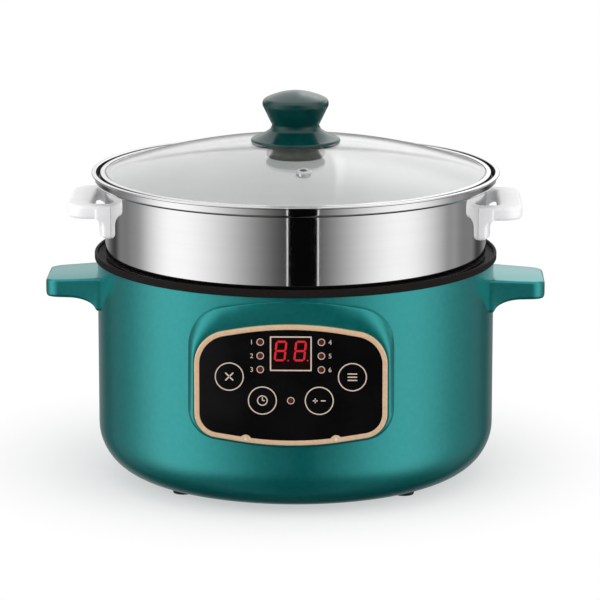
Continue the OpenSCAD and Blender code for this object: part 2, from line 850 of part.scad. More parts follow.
module power_inlet() {
    socket_r = 3;
    color(BLACK) difference() {
        union() {
            on_back(inlet_y, inlet_t) polygon(box_outline(inlet_w, inlet_h, inlet_corner_r));
            on_back(inlet_y, inlet_t + socket_depth + socket_wall) square(socket_body, center = true);
        }
        on_back(inlet_y + past, socket_depth + past) polygon(box_outline(socket_w, socket_h, socket_r));
        on_back(inlet_y + past, inlet_t + 2 * past) for (s = [-1, 1]) translate([s * inlet_screw_x, 0])
            circle(d = small_screw_d + 2 * fit);
    }
}

module inlet_pins() {
    color(STEEL) for (p = pin_spots) on_back(inlet_y - socket_depth + pin_reach, pin_reach) translate(p)
        square(pin_size, center = true);
}

module inlet_screws() {
    color(STEEL) for (s = [-1, 1]) translate([s * inlet_screw_x, inlet_y, z_base + inlet_z])
        rotate([90, 0, 0]) inlet_screw();
}

// A screw with a low head on the flange
module inlet_screw() {
    translate([0, 0, -inlet_head_h]) cylinder(d = 2 * small_screw_d, h = inlet_head_h);
    translate([0, 0, -sunk]) cylinder(d = small_screw_d, h = sunk + inlet_t + 2 * wall);
}

// Flat cable from the control board down to the power board
module ribbon_cable() {
    t = 0.8;
    half_w = 8;
    plug_h = 6;
    y_up = board_t - control_y;
    z_run = z_power_top + 2 * standoff_h;
    z_up = z_panel + control_z - control_h / 2 + plug_h;
    y_end = power_y - power_l / 2 + power_margin;
    color(GREY) translate([-half_w, 0, 0]) rotate([90, 0, 90]) linear_extrude(2 * half_w) polygon([
        [y_up, z_up], [y_up, z_run], [y_end, z_run], [y_end, z_power_top], [y_end + t, z_power_top],
        [y_end + t, z_run + t], [y_up + t, z_run + t], [y_up + t, z_up]
    ]);
}

lead_d = 2.6;
lead_x = 8;

module heater_leads() {
    color(RED) at_angles(terminal_angles, element_loop_d / 2) translate([0, 0, z_power_top])
        cylinder(d = lead_d, h = z_plate - terminal_l - z_power_top);
}

// A wire of straight stretches through the points, with round elbows
module wire(points, d) {
    for (i = [0:len(points) - 2]) {
        run = points[i + 1] - points[i];
        translate(points[i]) rotate([0, acos(run.z / norm(run)), atan2(run.y, run.x)])
            cylinder(d = d, h = norm(run));
    }
    for (i = [1:len(points) - 2]) translate(points[i]) sphere(d = d);
}

// Two leads from the inlet's back, down past the edge of the shield and along to the power board
module mains_leads() {
    y_inlet = inlet_y - inlet_t - socket_depth - socket_wall;
    y_drop = stud_reach + stud_base_d / 2 + lead_d;
    y_down = power_y + power_l / 2 - 2 * lead_d;
    z_inlet = z_base + inlet_z - socket_h / 2 + lead_d;
    z_run = z_shield - shield_t - 2 * lead_d;
    color(BROWN) for (x = [-lead_x, lead_x]) wire([
        [x, y_inlet, z_inlet], [x, y_drop, z_inlet], [x, y_drop, z_run],
        [x, y_down, z_run], [x, y_down, z_power_top]
    ], lead_d);
}

// Half section of the steamer's wall: a collar, a rounded shoulder and a straight side
module shell_section() {
    shoulder_x = shell_r - shoulder_r;
    z_shoulder = z_seat + shoulder_r;
    translate([collar_r - sheet, z_seat - collar_h]) square([sheet, collar_h + sheet]);
    translate([collar_r - sheet, z_seat]) square([shoulder_x - collar_r + sheet, sheet]);
    intersection() {
        translate([shoulder_x, z_shoulder]) difference() {
            circle(shoulder_r);
            circle(shoulder_r - sheet);
        }
        translate([shoulder_x, z_seat]) square(shoulder_r);
    }
    translate([shell_r - sheet, z_shoulder]) square([sheet, z_gutter - z_shoulder]);
}

module steamer_shell() {
    color(STEEL) difference() {
        rotate_extrude() shell_section();
        for (m = [0, 1]) mirror([m, 0, 0]) leg_screw_axes() translate([0, 0, -past])
            cylinder(d = small_screw_d + 2 * fit, h = sheet + 3 * past);
    }
}

// Perforated disc set into the foot of the collar
module steamer_floor() {
    color(STEEL) translate([0, 0, z_seat - collar_h]) difference() {
        cylinder(r = collar_r - sheet, h = sheet);
        for (ring = [0:steam_rings], i = [0:max(0, 6 * ring - 1)])
            rotate([0, 0, ring == 0 ? 0 : 60 * i / ring]) translate([ring * steam_pitch, 0, -past])
                cylinder(d = steam_hole_d, h = sheet + 2 * past, $fn = 24);
    }
}

// Half section of the steamer's rim: a gutter for the lid's band, an upright side and a hemmed lip
module rim_section() {
    bend_r = 2.5;
    lip_in_r = steamer_lip_r - lip_top_w;
    side_r = lip_in_r + 3 / 2 * sheet;
    polygon(rounded([
        [shell_r - sheet, z_gutter, 0], [gutter_r, z_gutter, bend_r], [side_r, z_lip - hem_t, 0],
        [side_r, z_lip, 0], [lip_in_r, z_lip, 0], [gutter_r - sheet, z_gutter + sheet, bend_r - sheet],
        [shell_r - sheet, z_gutter + sheet, 0]
    ]));
    translate([lip_in_r + sheet, z_lip - hem_t]) square([lip_top_w - sheet - hem_t / 2, hem_t]);
    translate([steamer_lip_r - hem_t / 2, z_lip - hem_t / 2]) circle(d = hem_t);
}

module steamer_rim() {
    color(STEEL) rotate_extrude() rim_section();
}

z_grip_top = z_lip - grip_drop;
leg_y = grip_w / 2 - leg_w / 2;
leg_angle = asin(leg_y / (shell_r + leg_t));
z_leg = z_grip_top - leg_h;

// Screw axes from inside the steamer's wall outwards into a handle's legs
module leg_screw_axes() {
    for (s = [-1, 1]) rotate([0, 0, s * leg_angle]) translate([shell_r - sheet - fit, 0, z_leg + leg_w / 2])
        rotate([0, 90, 0]) children();
}

// Right steamer handle: a broad bar on two legs that lie against the steamer's wall, with a slot behind it
module steamer_handle() {
    tip_x = shell_r + grip_reach;
    root_x = shell_r - grip_w / 5;
    gap_x = tip_x - grip_bar;
    gap_w = grip_w - 2 * leg_w;
    gap_r = 6;
    tip_r = 14;
    tip_y = grip_w / 2 - 3;
    color(WHITE) difference() {
        union() {
            translate([0, 0, z_grip_top - grip_t]) linear_extrude(grip_t) polygon(rounded([
                [root_x, -grip_w / 2, 0], [tip_x, -tip_y, tip_r],
                [tip_x, tip_y, tip_r], [root_x, grip_w / 2, 0]
            ]));
            intersection() {
                translate([0, 0, z_leg]) cylinder(r = shell_r + leg_t, h = leg_h);
                translate([root_x, -grip_w / 2, z_leg]) cube([tip_x - root_x, grip_w, leg_h]);
            }
        }
        translate([0, 0, z_leg - past]) linear_extrude(leg_h + 2 * past) polygon(rounded([
            [root_x - past, -gap_w / 2, 0], [gap_x, -gap_w / 2, gap_r],
            [gap_x, gap_w / 2, gap_r], [root_x - past, gap_w / 2, 0]
        ]));
        translate([0, 0, z_seat]) cylinder(r = shell_r + fit, h = steamer_h);
        leg_screw_axes() cylinder(d = small_screw_d + 2 * fit, h = leg_t);
    }
}

module steamer_handle_right() { steamer_handle(); }

module steamer_handle_left() { mirror([1, 0, 0]) steamer_handle(); }

module steamer_screws() {
    color(STEEL) for (m = [0, 1]) mirror([m, 0, 0]) leg_screw_axes() screw(small_screw_d, leg_t - past);
}

// Puts a piece on the dome's surface at the vent, Z along the surface's normal
module at_vent() {
    translate([0, 0, z_dome]) rotate([0, 0, vent_angle]) rotate([0, vent_tilt, 0]) translate([0, 0, dome_r])
        children();
}

vent_tube_d = vent_d - 4;
glass_bore_d = screw_d + 2;
DOME_FN = 200;

module lid_glass() {
    color([0.85, 0.92, 0.92, 0.4]) difference() {
        intersection() {
            translate([0, 0, z_dome]) difference() {
                sphere(dome_r, $fn = DOME_FN);
                sphere(dome_r - glass_t, $fn = DOME_FN);
            }
            translate([0, 0, z_band]) cylinder(r = glass_r, h = 2 * dome_h);
        }
        translate([0, 0, z_crown - 3 * glass_t]) cylinder(d = glass_bore_d, h = 6 * glass_t);
        at_vent() translate([0, 0, -3 * glass_t]) cylinder(d = vent_tube_d + 2 * fit, h = 6 * glass_t);
    }
}

module lid_band() {
    flare_h = 3.5;
    seat_w = 2;
    color(STEEL) rotate_extrude() polygon([
        [band_low_r - seat_w, z_band], [band_low_r, z_band], [band_r, z_band + flare_h], [band_r, z_band_top],
        [band_r - fold_w, z_band_top], [band_r - fold_w, z_band_top - band_t],
        [band_r - band_t, z_band_top - band_t], [band_r - band_t, z_band + flare_h],
        [band_low_r + band_t / 2, z_band + 2 * band_t],
        [band_low_r - fit, z_band + band_t], [band_low_r - seat_w, z_band + band_t]
    ]);
}

z_knob = z_dome + sqrt(dome_r * dome_r - skirt_d * skirt_d / 4) + slide;
knob_bore_l = 16;

// Half section of the knob: a thin skirt that rises to a neck, a sharp waist, a cone and a domed head
function knob_section() =
    let (
        skirt = skirt_d / 2, waist = waist_d / 2, head = head_d / 2, third = (skirt - waist) / 3,
        edge_h = 1.2, neck_h = 3, neck_w = 1.2, waist_len = 0.8, rise = waist_h - neck_h - edge_h,
        round_h = 3, round_w = 0.5, head_edge = 1
    )
    concat(
        [[0, 0], [skirt, 0]],
        bezier([skirt, edge_h], [skirt - third, edge_h + rise / 4],
               [waist + third, edge_h + 0.6 * rise], [waist + neck_w, edge_h + rise], 8),
        [[waist, waist_h], [waist, waist_h + waist_len]],
        bezier([head - round_w, head_h - round_h], [head - round_w / 4, head_h - 2 / 3 * round_h],
               [head, head_h - round_h / 3], [head, head_h], 4),
        bezier([head, head_h + head_edge], [head - 1.5 * head_edge, knob_h - 2 * head_edge],
               [head / 2, knob_h], [0, knob_h], 10)
    );

module knob() {
    color(DARK_TEAL) difference() {
        translate([0, 0, z_knob]) rotate_extrude() polygon(knob_section());
        translate([0, 0, z_dome]) sphere(dome_r + fit, $fn = DOME_FN);
        translate([0, 0, z_knob - past]) cylinder(d = screw_d + 2 * fit, h = knob_bore_l + past);
    }
}

z_seat_low = z_crown - glass_t - fit - seat_h;

module knob_seat() {
    chamfer = 2;
    edge_h = 1.5;
    taper = 3.8;
    top = seat_h + past;
    color(BROWN) difference() {
        translate([0, 0, z_seat_low]) rotate_extrude() polygon([
            [0, 0], [seat_d / 2 - chamfer, 0], [seat_d / 2, chamfer], [seat_d / 2, chamfer + edge_h],
            [seat_d / 2 - taper, top], [0, top]
        ]);
        difference() {
            translate([0, 0, z_seat_low + seat_h / 2]) cylinder(d = 2 * seat_d, h = seat_h);
            translate([0, 0, z_dome]) sphere(dome_r - glass_t - fit, $fn = DOME_FN);
        }
        translate([0, 0, z_seat_low - past]) {
            cylinder(d = screw_d + 2 * fit, h = seat_h + 3 * past);
            cylinder(d = 2 * screw_d + 2 * fit, h = screw_head_h + past);
        }
    }
}

module knob_screw() {
    z_head = z_seat_low + screw_head_h;
    color(STEEL) translate([0, 0, z_head]) screw(screw_d, z_knob + knob_bore_l - past - z_head);
}

module vent_grommet() {
    flange_t = 0.8;
    bevel = 1;
    color(STEEL) at_vent() difference() {
        union() {
            translate([0, 0, fit]) cylinder(d1 = vent_d, d2 = vent_d - 2 * bevel, h = flange_t);
            translate([0, 0, -glass_t - fit - flange_t]) {
                cylinder(d = vent_tube_d, h = glass_t + 2 * fit + 2 * flange_t);
                cylinder(d = vent_d - bevel, h = flange_t);
            }
        }
        translate([0, 0, -3 * glass_t]) cylinder(d = vent_bore, h = 6 * glass_t);
    }
}

housing();
bottom_cover();
feet();
cover_screws();
side_handle_left();
side_handle_right();
handle_screws();
inner_pot();
pot_studs();
stud_screws();
heating_plate();
heating_element();
heat_shield();
temperature_sensor();
sensor_spring();
thermal_fuse();
power_board();
relay();
transformer();
capacitors();
control_board();
control_screws();
display_module();
display_window();
indicator_lamps();
key_switches();
panel_bezel();
bezel_studs();
panel_fascia();
key_outer_left();
key_outer_right();
key_inner_left();
key_inner_right();
power_inlet();
inlet_pins();
inlet_screws();
ribbon_cable();
heater_leads();
mains_leads();
steamer_shell();
steamer_floor();
steamer_rim();
steamer_handle_left();
steamer_handle_right();
steamer_screws();
lid_glass();
lid_band();
knob();
knob_seat();
knob_screw();
vent_grommet();
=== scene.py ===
# %% [markdown]
# # Dressing a multicooker
# A multicooker is a heated pot in a plastic housing. This one carries a steel steamer tier and a glass lid.
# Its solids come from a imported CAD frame, in metres, standing on the plane z = 0 with the panel towards -Y.
# This lesson keeps that frame as it is. It adds a camera, studio light, finishes for every solid, and new
# surfaces for the pieces whose curves and soft edges the eye rests on.

# %% Load the frame
import json
import math

import bmesh
import bpy
import numpy as np
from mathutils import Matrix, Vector


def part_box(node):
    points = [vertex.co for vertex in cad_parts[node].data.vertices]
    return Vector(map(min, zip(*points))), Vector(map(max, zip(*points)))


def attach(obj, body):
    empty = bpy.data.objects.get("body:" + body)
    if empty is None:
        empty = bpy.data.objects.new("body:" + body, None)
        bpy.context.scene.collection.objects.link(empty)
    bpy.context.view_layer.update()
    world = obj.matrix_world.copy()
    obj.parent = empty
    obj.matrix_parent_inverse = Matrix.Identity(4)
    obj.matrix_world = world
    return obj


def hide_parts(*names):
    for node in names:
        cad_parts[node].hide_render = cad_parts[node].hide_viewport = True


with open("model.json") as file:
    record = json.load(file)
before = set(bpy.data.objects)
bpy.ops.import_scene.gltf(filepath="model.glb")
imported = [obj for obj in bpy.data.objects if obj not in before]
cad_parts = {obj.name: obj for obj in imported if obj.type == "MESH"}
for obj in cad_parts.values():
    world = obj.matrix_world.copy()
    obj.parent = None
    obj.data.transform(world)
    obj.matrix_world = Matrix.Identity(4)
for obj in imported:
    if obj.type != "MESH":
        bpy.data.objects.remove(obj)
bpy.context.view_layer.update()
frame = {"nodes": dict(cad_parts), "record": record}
nodes = frame["nodes"]
MM = 0.001

# %% [markdown]
# ## Camera
# A product photo like this one is taken with a long lens from far away, so that round edges stay calm. The
# camera stands a little above the cooker and a touch to its right. It could be aimed by hand or by a Track
# To constraint. Its place is written in numbers instead, so that every run gives the same picture. The
# cooker's axis lies a few pixels left of the picture's middle, and a small lens shift gives that without
# turning the camera.

# %% Stand the camera
CAMERA_REACH = 2.601
CAMERA_HEIGHT = 0.6893
CAMERA_TURN = math.radians(1.3)
AIM_HEIGHT = 0.1234

camera = bpy.data.objects.new("camera", bpy.data.cameras.new("camera"))
bpy.context.scene.collection.objects.link(camera)
camera.data.lens = 225
camera.data.sensor_width = 36
camera.data.shift_x = 0.0073
camera.data.clip_end = 50
camera.location = (
    CAMERA_REACH * math.sin(CAMERA_TURN),
    -CAMERA_REACH * math.cos(CAMERA_TURN),
    CAMERA_HEIGHT,
)
line_of_sight = Vector((0, 0, AIM_HEIGHT)) - camera.location
camera.rotation_euler = line_of_sight.to_track_quat("-Z", "Y").to_euler()
bpy.context.scene.camera = camera
bpy.context.scene.view_settings.view_transform = "Standard"
print("camera looks down by", round(math.degrees(math.asin(-line_of_sight.normalized().z)), 1), "degrees")

# %% [markdown]
# ## Studio light
# Polished steel shows the room, so the room is designed first. Two tall soft boxes stand left and right of
# the cooker, and a black flag with thin bright edges stands by the camera. White planes round the set could
# do this. A world made of compass angles is chosen, because each box can then have edges as soft as it
# needs. Only mirror-like rays see this ring; the camera and the glass see plain white, and matt surfaces
# get an even fill.

# %% Helpers for shader nodes
def add_node(tree, kind, **settings):
    """Adds a shader node and sets its properties by name."""
    node = tree.nodes.new(kind)
    for name, value in settings.items():
        setattr(node, name, value)
    return node


def math_node(tree, operation, first, second=None):
    """Adds a Math node whose inputs are sockets or plain numbers, and returns its result socket."""
    node = add_node(tree, "ShaderNodeMath", operation=operation)
    for socket, value in zip(node.inputs, (first, second)):
        if isinstance(value, bpy.types.NodeSocket):
            tree.links.new(value, socket)
        elif value is not None:
            socket.default_value = value
    return node.outputs[0]


def mapped(tree, value, from_low, from_high, to_low, to_high, smooth=True):
    """Carries a value from one range to another, clamped, along an S-curve or a straight line."""
    node = add_node(tree, "ShaderNodeMapRange", interpolation_type="SMOOTHSTEP" if smooth else "LINEAR")
    tree.links.new(value, node.inputs["Value"])
    limits = {"From Min": from_low, "From Max": from_high, "To Min": to_low, "To Max": to_high}
    for name, number in limits.items():
        node.inputs[name].default_value = number
    return node.outputs["Result"]


def mixed(tree, factor, first, second):
    """Mixes two colours by a socket. Each colour may be a socket, a grey level or an RGB triple."""
    node = add_node(tree, "ShaderNodeMix", data_type="RGBA")
    colours = [socket for socket in node.inputs if socket.type == "RGBA"]
    tree.links.new(factor, node.inputs[0])
    for socket, value in zip(colours, (first, second)):
        if isinstance(value, bpy.types.NodeSocket):
            tree.links.new(value, socket)
        else:
            rgb = value if isinstance(value, tuple) else (value,) * 3
            socket.default_value = (*rgb, 1)
    return [socket for socket in node.outputs if socket.type == "RGBA"][0]


print("shader helpers ready")

# %% Arcs of light round the cooker
# Each arc has its start, full from, full to and end in degrees from the camera's side, and its level
SOFT_BOXES = [
    (-200, -190, -166, -140, 0.28), (-139, -129, -118, -104, 0.15), (-122, -77, -74, 0, 1.08),
    (5, 66, 68, 124, 1.02), (104, 114, 133, 143, 0.16), (146, 164, 190, 200, 0.22),
]
BACK_WALL = [(60, 150, 190, 200, 1.15), (-200, -190, -160, -110, 0.9)]
BACK_BOXES = [(158, 168, 177.3, 177.9, 0.8), (176.4, 177, 177.3, 177.9, 0.4)]
BACK_LEAN = 8.6
FLAG, FLAG_EDGE = (-3.2, 14.2), 0.7
BEHIND = (math.radians(100), math.radians(140))
# Levels of brightness, and ranges of a ray's rise: -1 straight down, 0 level, 1 straight up
AMBIENT, FLAG_LEVEL, BACK_LEVEL, FILL_LEVEL = 0.06, 0.002, 0.05, 0.7
OVERHEAD_LEVEL, ZENITH_LEVEL, GROUND_SHARE = 0.95, 0.7, 0.12
WALL_RISE, BOX_RISE, BOX_MIDDLE = (-0.02, 0.12), (0.3, 0.48), 0.5
OVERHEAD_RISE, ZENITH_RISE, GROUND_RISE = (0.5, 0.8), (0.85, 0.98), (-0.8, -0.45)


def lit_arc(tree, compass, start, full_from, full_to, end, level):
    """A soft box by compass angle: an S-curve up to its full brightness and an S-curve down again."""
    up = mapped(tree, compass, math.radians(start), math.radians(full_from), 0, level)
    down = mapped(tree, compass, math.radians(full_to), math.radians(end), 1, 0)
    return math_node(tree, "MULTIPLY", up, down)


def between(tree, compass, low, high):
    """One between two angles and zero outside them."""
    above = math_node(tree, "GREATER_THAN", compass, math.radians(low))
    below = math_node(tree, "LESS_THAN", compass, math.radians(high))
    return math_node(tree, "MULTIPLY", above, below)


def lit_arcs(tree, compass, boxes, level):
    """The sum of several soft boxes over a plain level."""
    for box in boxes:
        level = math_node(tree, "ADD", lit_arc(tree, compass, *box), level)
    return level


def studio_ring(tree, compass):
    """The soft boxes over a dim room, with the flag and its bright edges laid over them."""
    level = lit_arcs(tree, compass, SOFT_BOXES, AMBIENT)
    edged = mixed(tree, between(tree, compass, FLAG[0] - FLAG_EDGE, FLAG[1] + FLAG_EDGE), level, 1.0)
    return mixed(tree, between(tree, compass, *FLAG), edged, FLAG_LEVEL)


print(len(SOFT_BOXES), "arcs at the horizon,", len(BACK_WALL + BACK_BOXES), "higher up behind the cooker")

# %% Build the world
def build_world():
    """The studio for mirror rays: the ring at the horizon, above it a bright wall with one more soft box
    behind the cooker, and white overhead. The camera and the glass see plain white, and all else gets an
    even fill."""
    world = bpy.data.worlds.new("studio")
    bpy.context.scene.world = world
    world.use_nodes = True
    tree = world.node_tree
    tree.nodes.clear()
    axes = add_node(tree, "ShaderNodeSeparateXYZ")
    tree.links.new(add_node(tree, "ShaderNodeTexCoord").outputs["Generated"], axes.inputs[0])
    rise = axes.outputs["Z"]
    towards_camera = math_node(tree, "MULTIPLY", axes.outputs["Y"], -1.0)
    compass = math_node(tree, "ARCTAN2", axes.outputs["X"], towards_camera)
    behind = mapped(tree, math_node(tree, "ABSOLUTE", compass), *BEHIND, 0, 1)
    above_ring = math_node(tree, "MULTIPLY", behind, mapped(tree, rise, *WALL_RISE, 0, 1))
    above_middle = math_node(tree, "SUBTRACT", rise, BOX_MIDDLE)
    lean = math_node(tree, "MULTIPLY", above_middle, math.radians(BACK_LEAN))
    back_box = lit_arcs(tree, math_node(tree, "ADD", compass, lean), BACK_BOXES, 0.0)
    back_box = math_node(tree, "MULTIPLY", back_box, mapped(tree, rise, *BOX_RISE, 0, 1))
    back = math_node(tree, "ADD", lit_arcs(tree, compass, BACK_WALL, BACK_LEVEL), back_box)
    walls = mixed(tree, above_ring, studio_ring(tree, compass), back)
    room = add_node(tree, "ShaderNodeVectorMath", operation="SCALE")
    overhead = mapped(tree, rise, *ZENITH_RISE, OVERHEAD_LEVEL, ZENITH_LEVEL)
    tree.links.new(mixed(tree, mapped(tree, rise, *OVERHEAD_RISE, 0, 1), walls, overhead), room.inputs[0])
    tree.links.new(mapped(tree, rise, *GROUND_RISE, GROUND_SHARE, 1), room.inputs["Scale"])
    path = add_node(tree, "ShaderNodeLightPath")
    seen = math_node(tree, "MAXIMUM", path.outputs["Is Camera Ray"], path.outputs["Is Transmission Ray"])
    shown = mixed(tree, path.outputs["Is Glossy Ray"], FILL_LEVEL, room.outputs[0])
    shown = mixed(tree, seen, shown, 1.0)
    background = add_node(tree, "ShaderNodeBackground")
    tree.links.new(shown, background.inputs["Color"])
    output = add_node(tree, "ShaderNodeOutputWorld")
    tree.links.new(background.outputs[0], output.inputs["Surface"])


build_world()
print("studio built, with a flag", FLAG[1] - FLAG[0], "degrees wide")

# %% [markdown]
# The soft boxes also throw light on matt surfaces. Area lamps do that, hidden from mirror rays so that each
# box isn't seen twice. Their power follows from the level wanted on a white card: a lamp of power P at
# distance d gives a card facing it the brightness P / (pi * pi * d * d).

# %% Hang the soft boxes
def hang_soft_box(name, compass, climb, distance, size, level):
    """An area lamp at a compass angle from the camera's side, turned to the cooker's middle."""
    lamp = bpy.data.lights.new(name, "AREA")
    lamp.size = size
    lamp.energy = level * math.pi**2 * distance**2
    box = bpy.data.objects.new(name, lamp)
    bpy.context.scene.collection.objects.link(box)
    turn, rise = math.radians(compass), math.radians(climb)
    away = Vector((math.sin(turn) * math.cos(rise), -math.cos(turn) * math.cos(rise), math.sin(rise)))
    middle = Vector((0, 0, AIM_HEIGHT))
    box.location = middle + away * distance
    box.rotation_euler = (-away).to_track_quat("-Z", "Y").to_euler()
    box.visible_glossy = False
    box.visible_camera = False


hang_soft_box("soft_box_left", compass=-68, climb=16, distance=1.7, size=1.0, level=0.42)
hang_soft_box("soft_box_right", compass=66, climb=16, distance=1.7, size=1.0, level=0.30)
hang_soft_box("soft_box_top", compass=0, climb=84, distance=1.8, size=1.6, level=0.20)

# %% [markdown]
# ## Finishes
# Every finish starts from one Principled shader. Noise moves its colour, roughness and surface a little,
# each at the size that the real material shows: paint ripples over millimetres, plastic has a grain of a
# fraction of a millimetre, and sheet metal carries fine lines from polishing. Pictures could give such
# detail too, but they need unwrapped meshes. Noise on Object coordinates fits any shape as it is.

# %% A helper for finishes
NOISE_RANGE, BUMP_DEPTH = (0.3, 0.7), 0.1 * MM


def noise(tree, scale, detail, stretch):
    """Noise on Object coordinates, stretched by a Mapping node. The scale is in features per metre."""
    place = add_node(tree, "ShaderNodeTexCoord").outputs["Object"]
    mapping = add_node(tree, "ShaderNodeMapping")
    mapping.inputs["Scale"].default_value = stretch
    tree.links.new(place, mapping.inputs["Vector"])
    texture = add_node(tree, "ShaderNodeTexNoise")
    texture.inputs["Scale"].default_value = scale
    texture.inputs["Detail"].default_value = detail
    tree.links.new(mapping.outputs[0], texture.inputs["Vector"])
    return texture.outputs["Fac"]


def finish(name, dark, light, roughness, tint_scale, grain_scale, grain, stretch=(1, 1, 1), **sockets):
    """A Principled finish: colour between dark and light and roughness within its range, both by noise at
    tint_scale, and a bump by noise at grain_scale. Other sockets are set by name to one value each."""
    material = bpy.data.materials.new(name)
    material.use_nodes = True
    tree = material.node_tree
    shader = tree.nodes["Principled BSDF"]
    tint = noise(tree, tint_scale, detail=3.0, stretch=stretch)
    colour = mixed(tree, mapped(tree, tint, *NOISE_RANGE, 0, 1), dark, light)
    tree.links.new(colour, shader.inputs["Base Color"])
    tree.links.new(mapped(tree, tint, *NOISE_RANGE, *roughness), shader.inputs["Roughness"])
    bump = add_node(tree, "ShaderNodeBump")
    bump.inputs["Strength"].default_value = grain
    bump.inputs["Distance"].default_value = BUMP_DEPTH
    grains = noise(tree, grain_scale, detail=1.0, stretch=stretch)
    tree.links.new(grains, bump.inputs["Height"])
    tree.links.new(bump.outputs[0], shader.inputs["Normal"])
    for socket, value in sockets.items():
        shader.inputs[socket.replace("_", " ")].default_value = value
    return material


print("finish helper ready")

# %% [markdown]
# The housing is painted in a teal metallic lacquer. Flakes in the paint mirror the soft boxes in teal, and
# a clear coat adds a thin white gleam. A plain glossy plastic would mirror the boxes in white alone. A
# metallic share below one keeps some matt colour in the shade.

# %% Plastics and paints
teal_lacquer = finish(
    "teal_lacquer", (0.005, 0.295, 0.290), (0.008, 0.320, 0.314), (0.29, 0.34), 300, 1600, 0.04,
    Metallic=0.8, Coat_Weight=0.8, Coat_Roughness=0.2, Specular_Tint=(0.35, 0.62, 0.62, 1),
)
dark_teal_gloss = finish(
    "dark_teal_gloss", (0.0006, 0.035, 0.033), (0.0012, 0.043, 0.040), (0.16, 0.22), 120, 900, 0.03,
    Specular_IOR_Level=0.45,
)
white_plastic = finish(
    "white_plastic", (0.88, 0.88, 0.89), (0.92, 0.92, 0.925), (0.30, 0.38), 90, 1500, 0.03,
)
black_plastic = finish(
    "black_plastic", (0.012, 0.012, 0.013), (0.020, 0.020, 0.021), (0.42, 0.55), 200, 1800, 0.25,
)
black_rubber = finish(
    "black_rubber", (0.018, 0.018, 0.018), (0.030, 0.030, 0.030), (0.75, 0.9), 150, 1200, 0.3,
)
panel_black = finish(
    "panel_black", (0.0030, 0.0030, 0.0034), (0.0042, 0.0042, 0.0046), (0.06, 0.10), 40, 200, 0.005,
    Specular_IOR_Level=0.35,
)
print("plastics made:", teal_lacquer.name, dark_teal_gloss.name, white_plastic.name)

# %% [markdown]
# Metals differ in how they were worked. The steamer's sheet is polished to a mirror with faint lines round
# the axis, screws and the vent are plain steel, the heater is cast aluminium, and the bezel is a satin rose
# gold. One steel could serve for several, but roughness is what tells them apart, so each has its own.

# %% Metals
polished_steel = finish(
    "polished_steel", (0.815, 0.815, 0.815), (0.83, 0.83, 0.832), (0.045, 0.06), 6, 30, 0.003,
    stretch=(1, 1, 40), Metallic=1.0,
)
satin_steel = finish(
    "satin_steel", (0.56, 0.56, 0.565), (0.62, 0.62, 0.625), (0.30, 0.38), 40, 400, 0.05,
    stretch=(1, 1, 12), Metallic=1.0,
)
plain_steel = finish(
    "plain_steel", (0.52, 0.52, 0.53), (0.62, 0.62, 0.63), (0.22, 0.34), 300, 1500, 0.1, Metallic=1.0,
)
stud_nickel = finish(
    "stud_nickel", (0.82, 0.82, 0.81), (0.90, 0.90, 0.89), (0.30, 0.38), 500, 1500, 0.05, Metallic=0.25,
)
cast_aluminium = finish(
    "cast_aluminium", (0.50, 0.50, 0.51), (0.62, 0.62, 0.63), (0.45, 0.6), 250, 700, 0.5, Metallic=1.0,
)
gold_trim = finish(
    "gold_trim", (0.70, 0.465, 0.29), (0.76, 0.52, 0.33), (0.36, 0.46), 500, 2500, 0.08, Metallic=0.15,
)
pin_brass = finish(
    "pin_brass", (0.62, 0.44, 0.16), (0.72, 0.53, 0.22), (0.25, 0.36), 300, 1500, 0.08, Metallic=1.0,
)
print("metals made:", polished_steel.name, satin_steel.name, plain_steel.name, gold_trim.name)

# %% [markdown]
# The rest is inside or small: coated pot, boards and their parts, leads, lamps and the display's window.
# Plain colours could do, but a reader may open the cooker, so the same helper finishes these too.

# %% Coating, boards and lamps
black_coating = finish(
    "black_coating", (0.010, 0.0085, 0.008), (0.017, 0.0145, 0.0135), (0.36, 0.46), 1200, 1500, 0.12,
    Specular_IOR_Level=0.02,
)
board_green = finish(
    "board_green", (0.010, 0.105, 0.035), (0.018, 0.150, 0.055), (0.35, 0.5), 400, 900, 0.1,
)
component_black = finish(
    "component_black", (0.014, 0.014, 0.015), (0.026, 0.026, 0.028), (0.4, 0.6), 300, 1500, 0.2,
)
component_yellow = finish(
    "component_yellow", (0.62, 0.42, 0.05), (0.72, 0.52, 0.09), (0.35, 0.5), 200, 1500, 0.1,
)
cable_grey = finish("cable_grey", (0.24, 0.24, 0.26), (0.32, 0.32, 0.34), (0.45, 0.6), 300, 1200, 0.1)
lead_brown = finish("lead_brown", (0.11, 0.045, 0.018), (0.16, 0.070, 0.030), (0.4, 0.55), 300, 1200, 0.1)
seat_brown = finish("seat_brown", (0.11, 0.093, 0.076), (0.15, 0.130, 0.108), (0.4, 0.55), 200, 1200, 0.1)
window_red = finish(
    "window_red", (0.007, 0.003, 0.003), (0.010, 0.004, 0.004), (0.05, 0.08), 60, 300, 0.01,
    Specular_IOR_Level=0.35,
)
lamp_red = finish("lamp_red", (0.075, 0.012, 0.008), (0.105, 0.018, 0.010), (0.15, 0.25), 900, 900, 0.05)
legend_cream = finish("legend_cream", (0.60, 0.475, 0.39), (0.66, 0.53, 0.44), (0.5, 0.65), 800, 2500, 0.05)
digit_red = finish(
    "digit_red", (0.30, 0.006, 0.010), (0.36, 0.008, 0.013), (0.3, 0.4), 700, 1500, 0.02,
    Emission_Color=(0.8, 0.010, 0.018, 1), Emission_Strength=0.40,
)
print("small finishes made:", len(bpy.data.materials), "in all")

# %% [markdown]
# Glass bends light, and a path tracer would leave its shadow black. So for shadow rays it turns
# transparent, and the lamps reach the steamer through the lid. A transparent shader for all rays would be
# simpler, but it has no reflections. Faint smears in its roughness keep the glass from looking unreal.

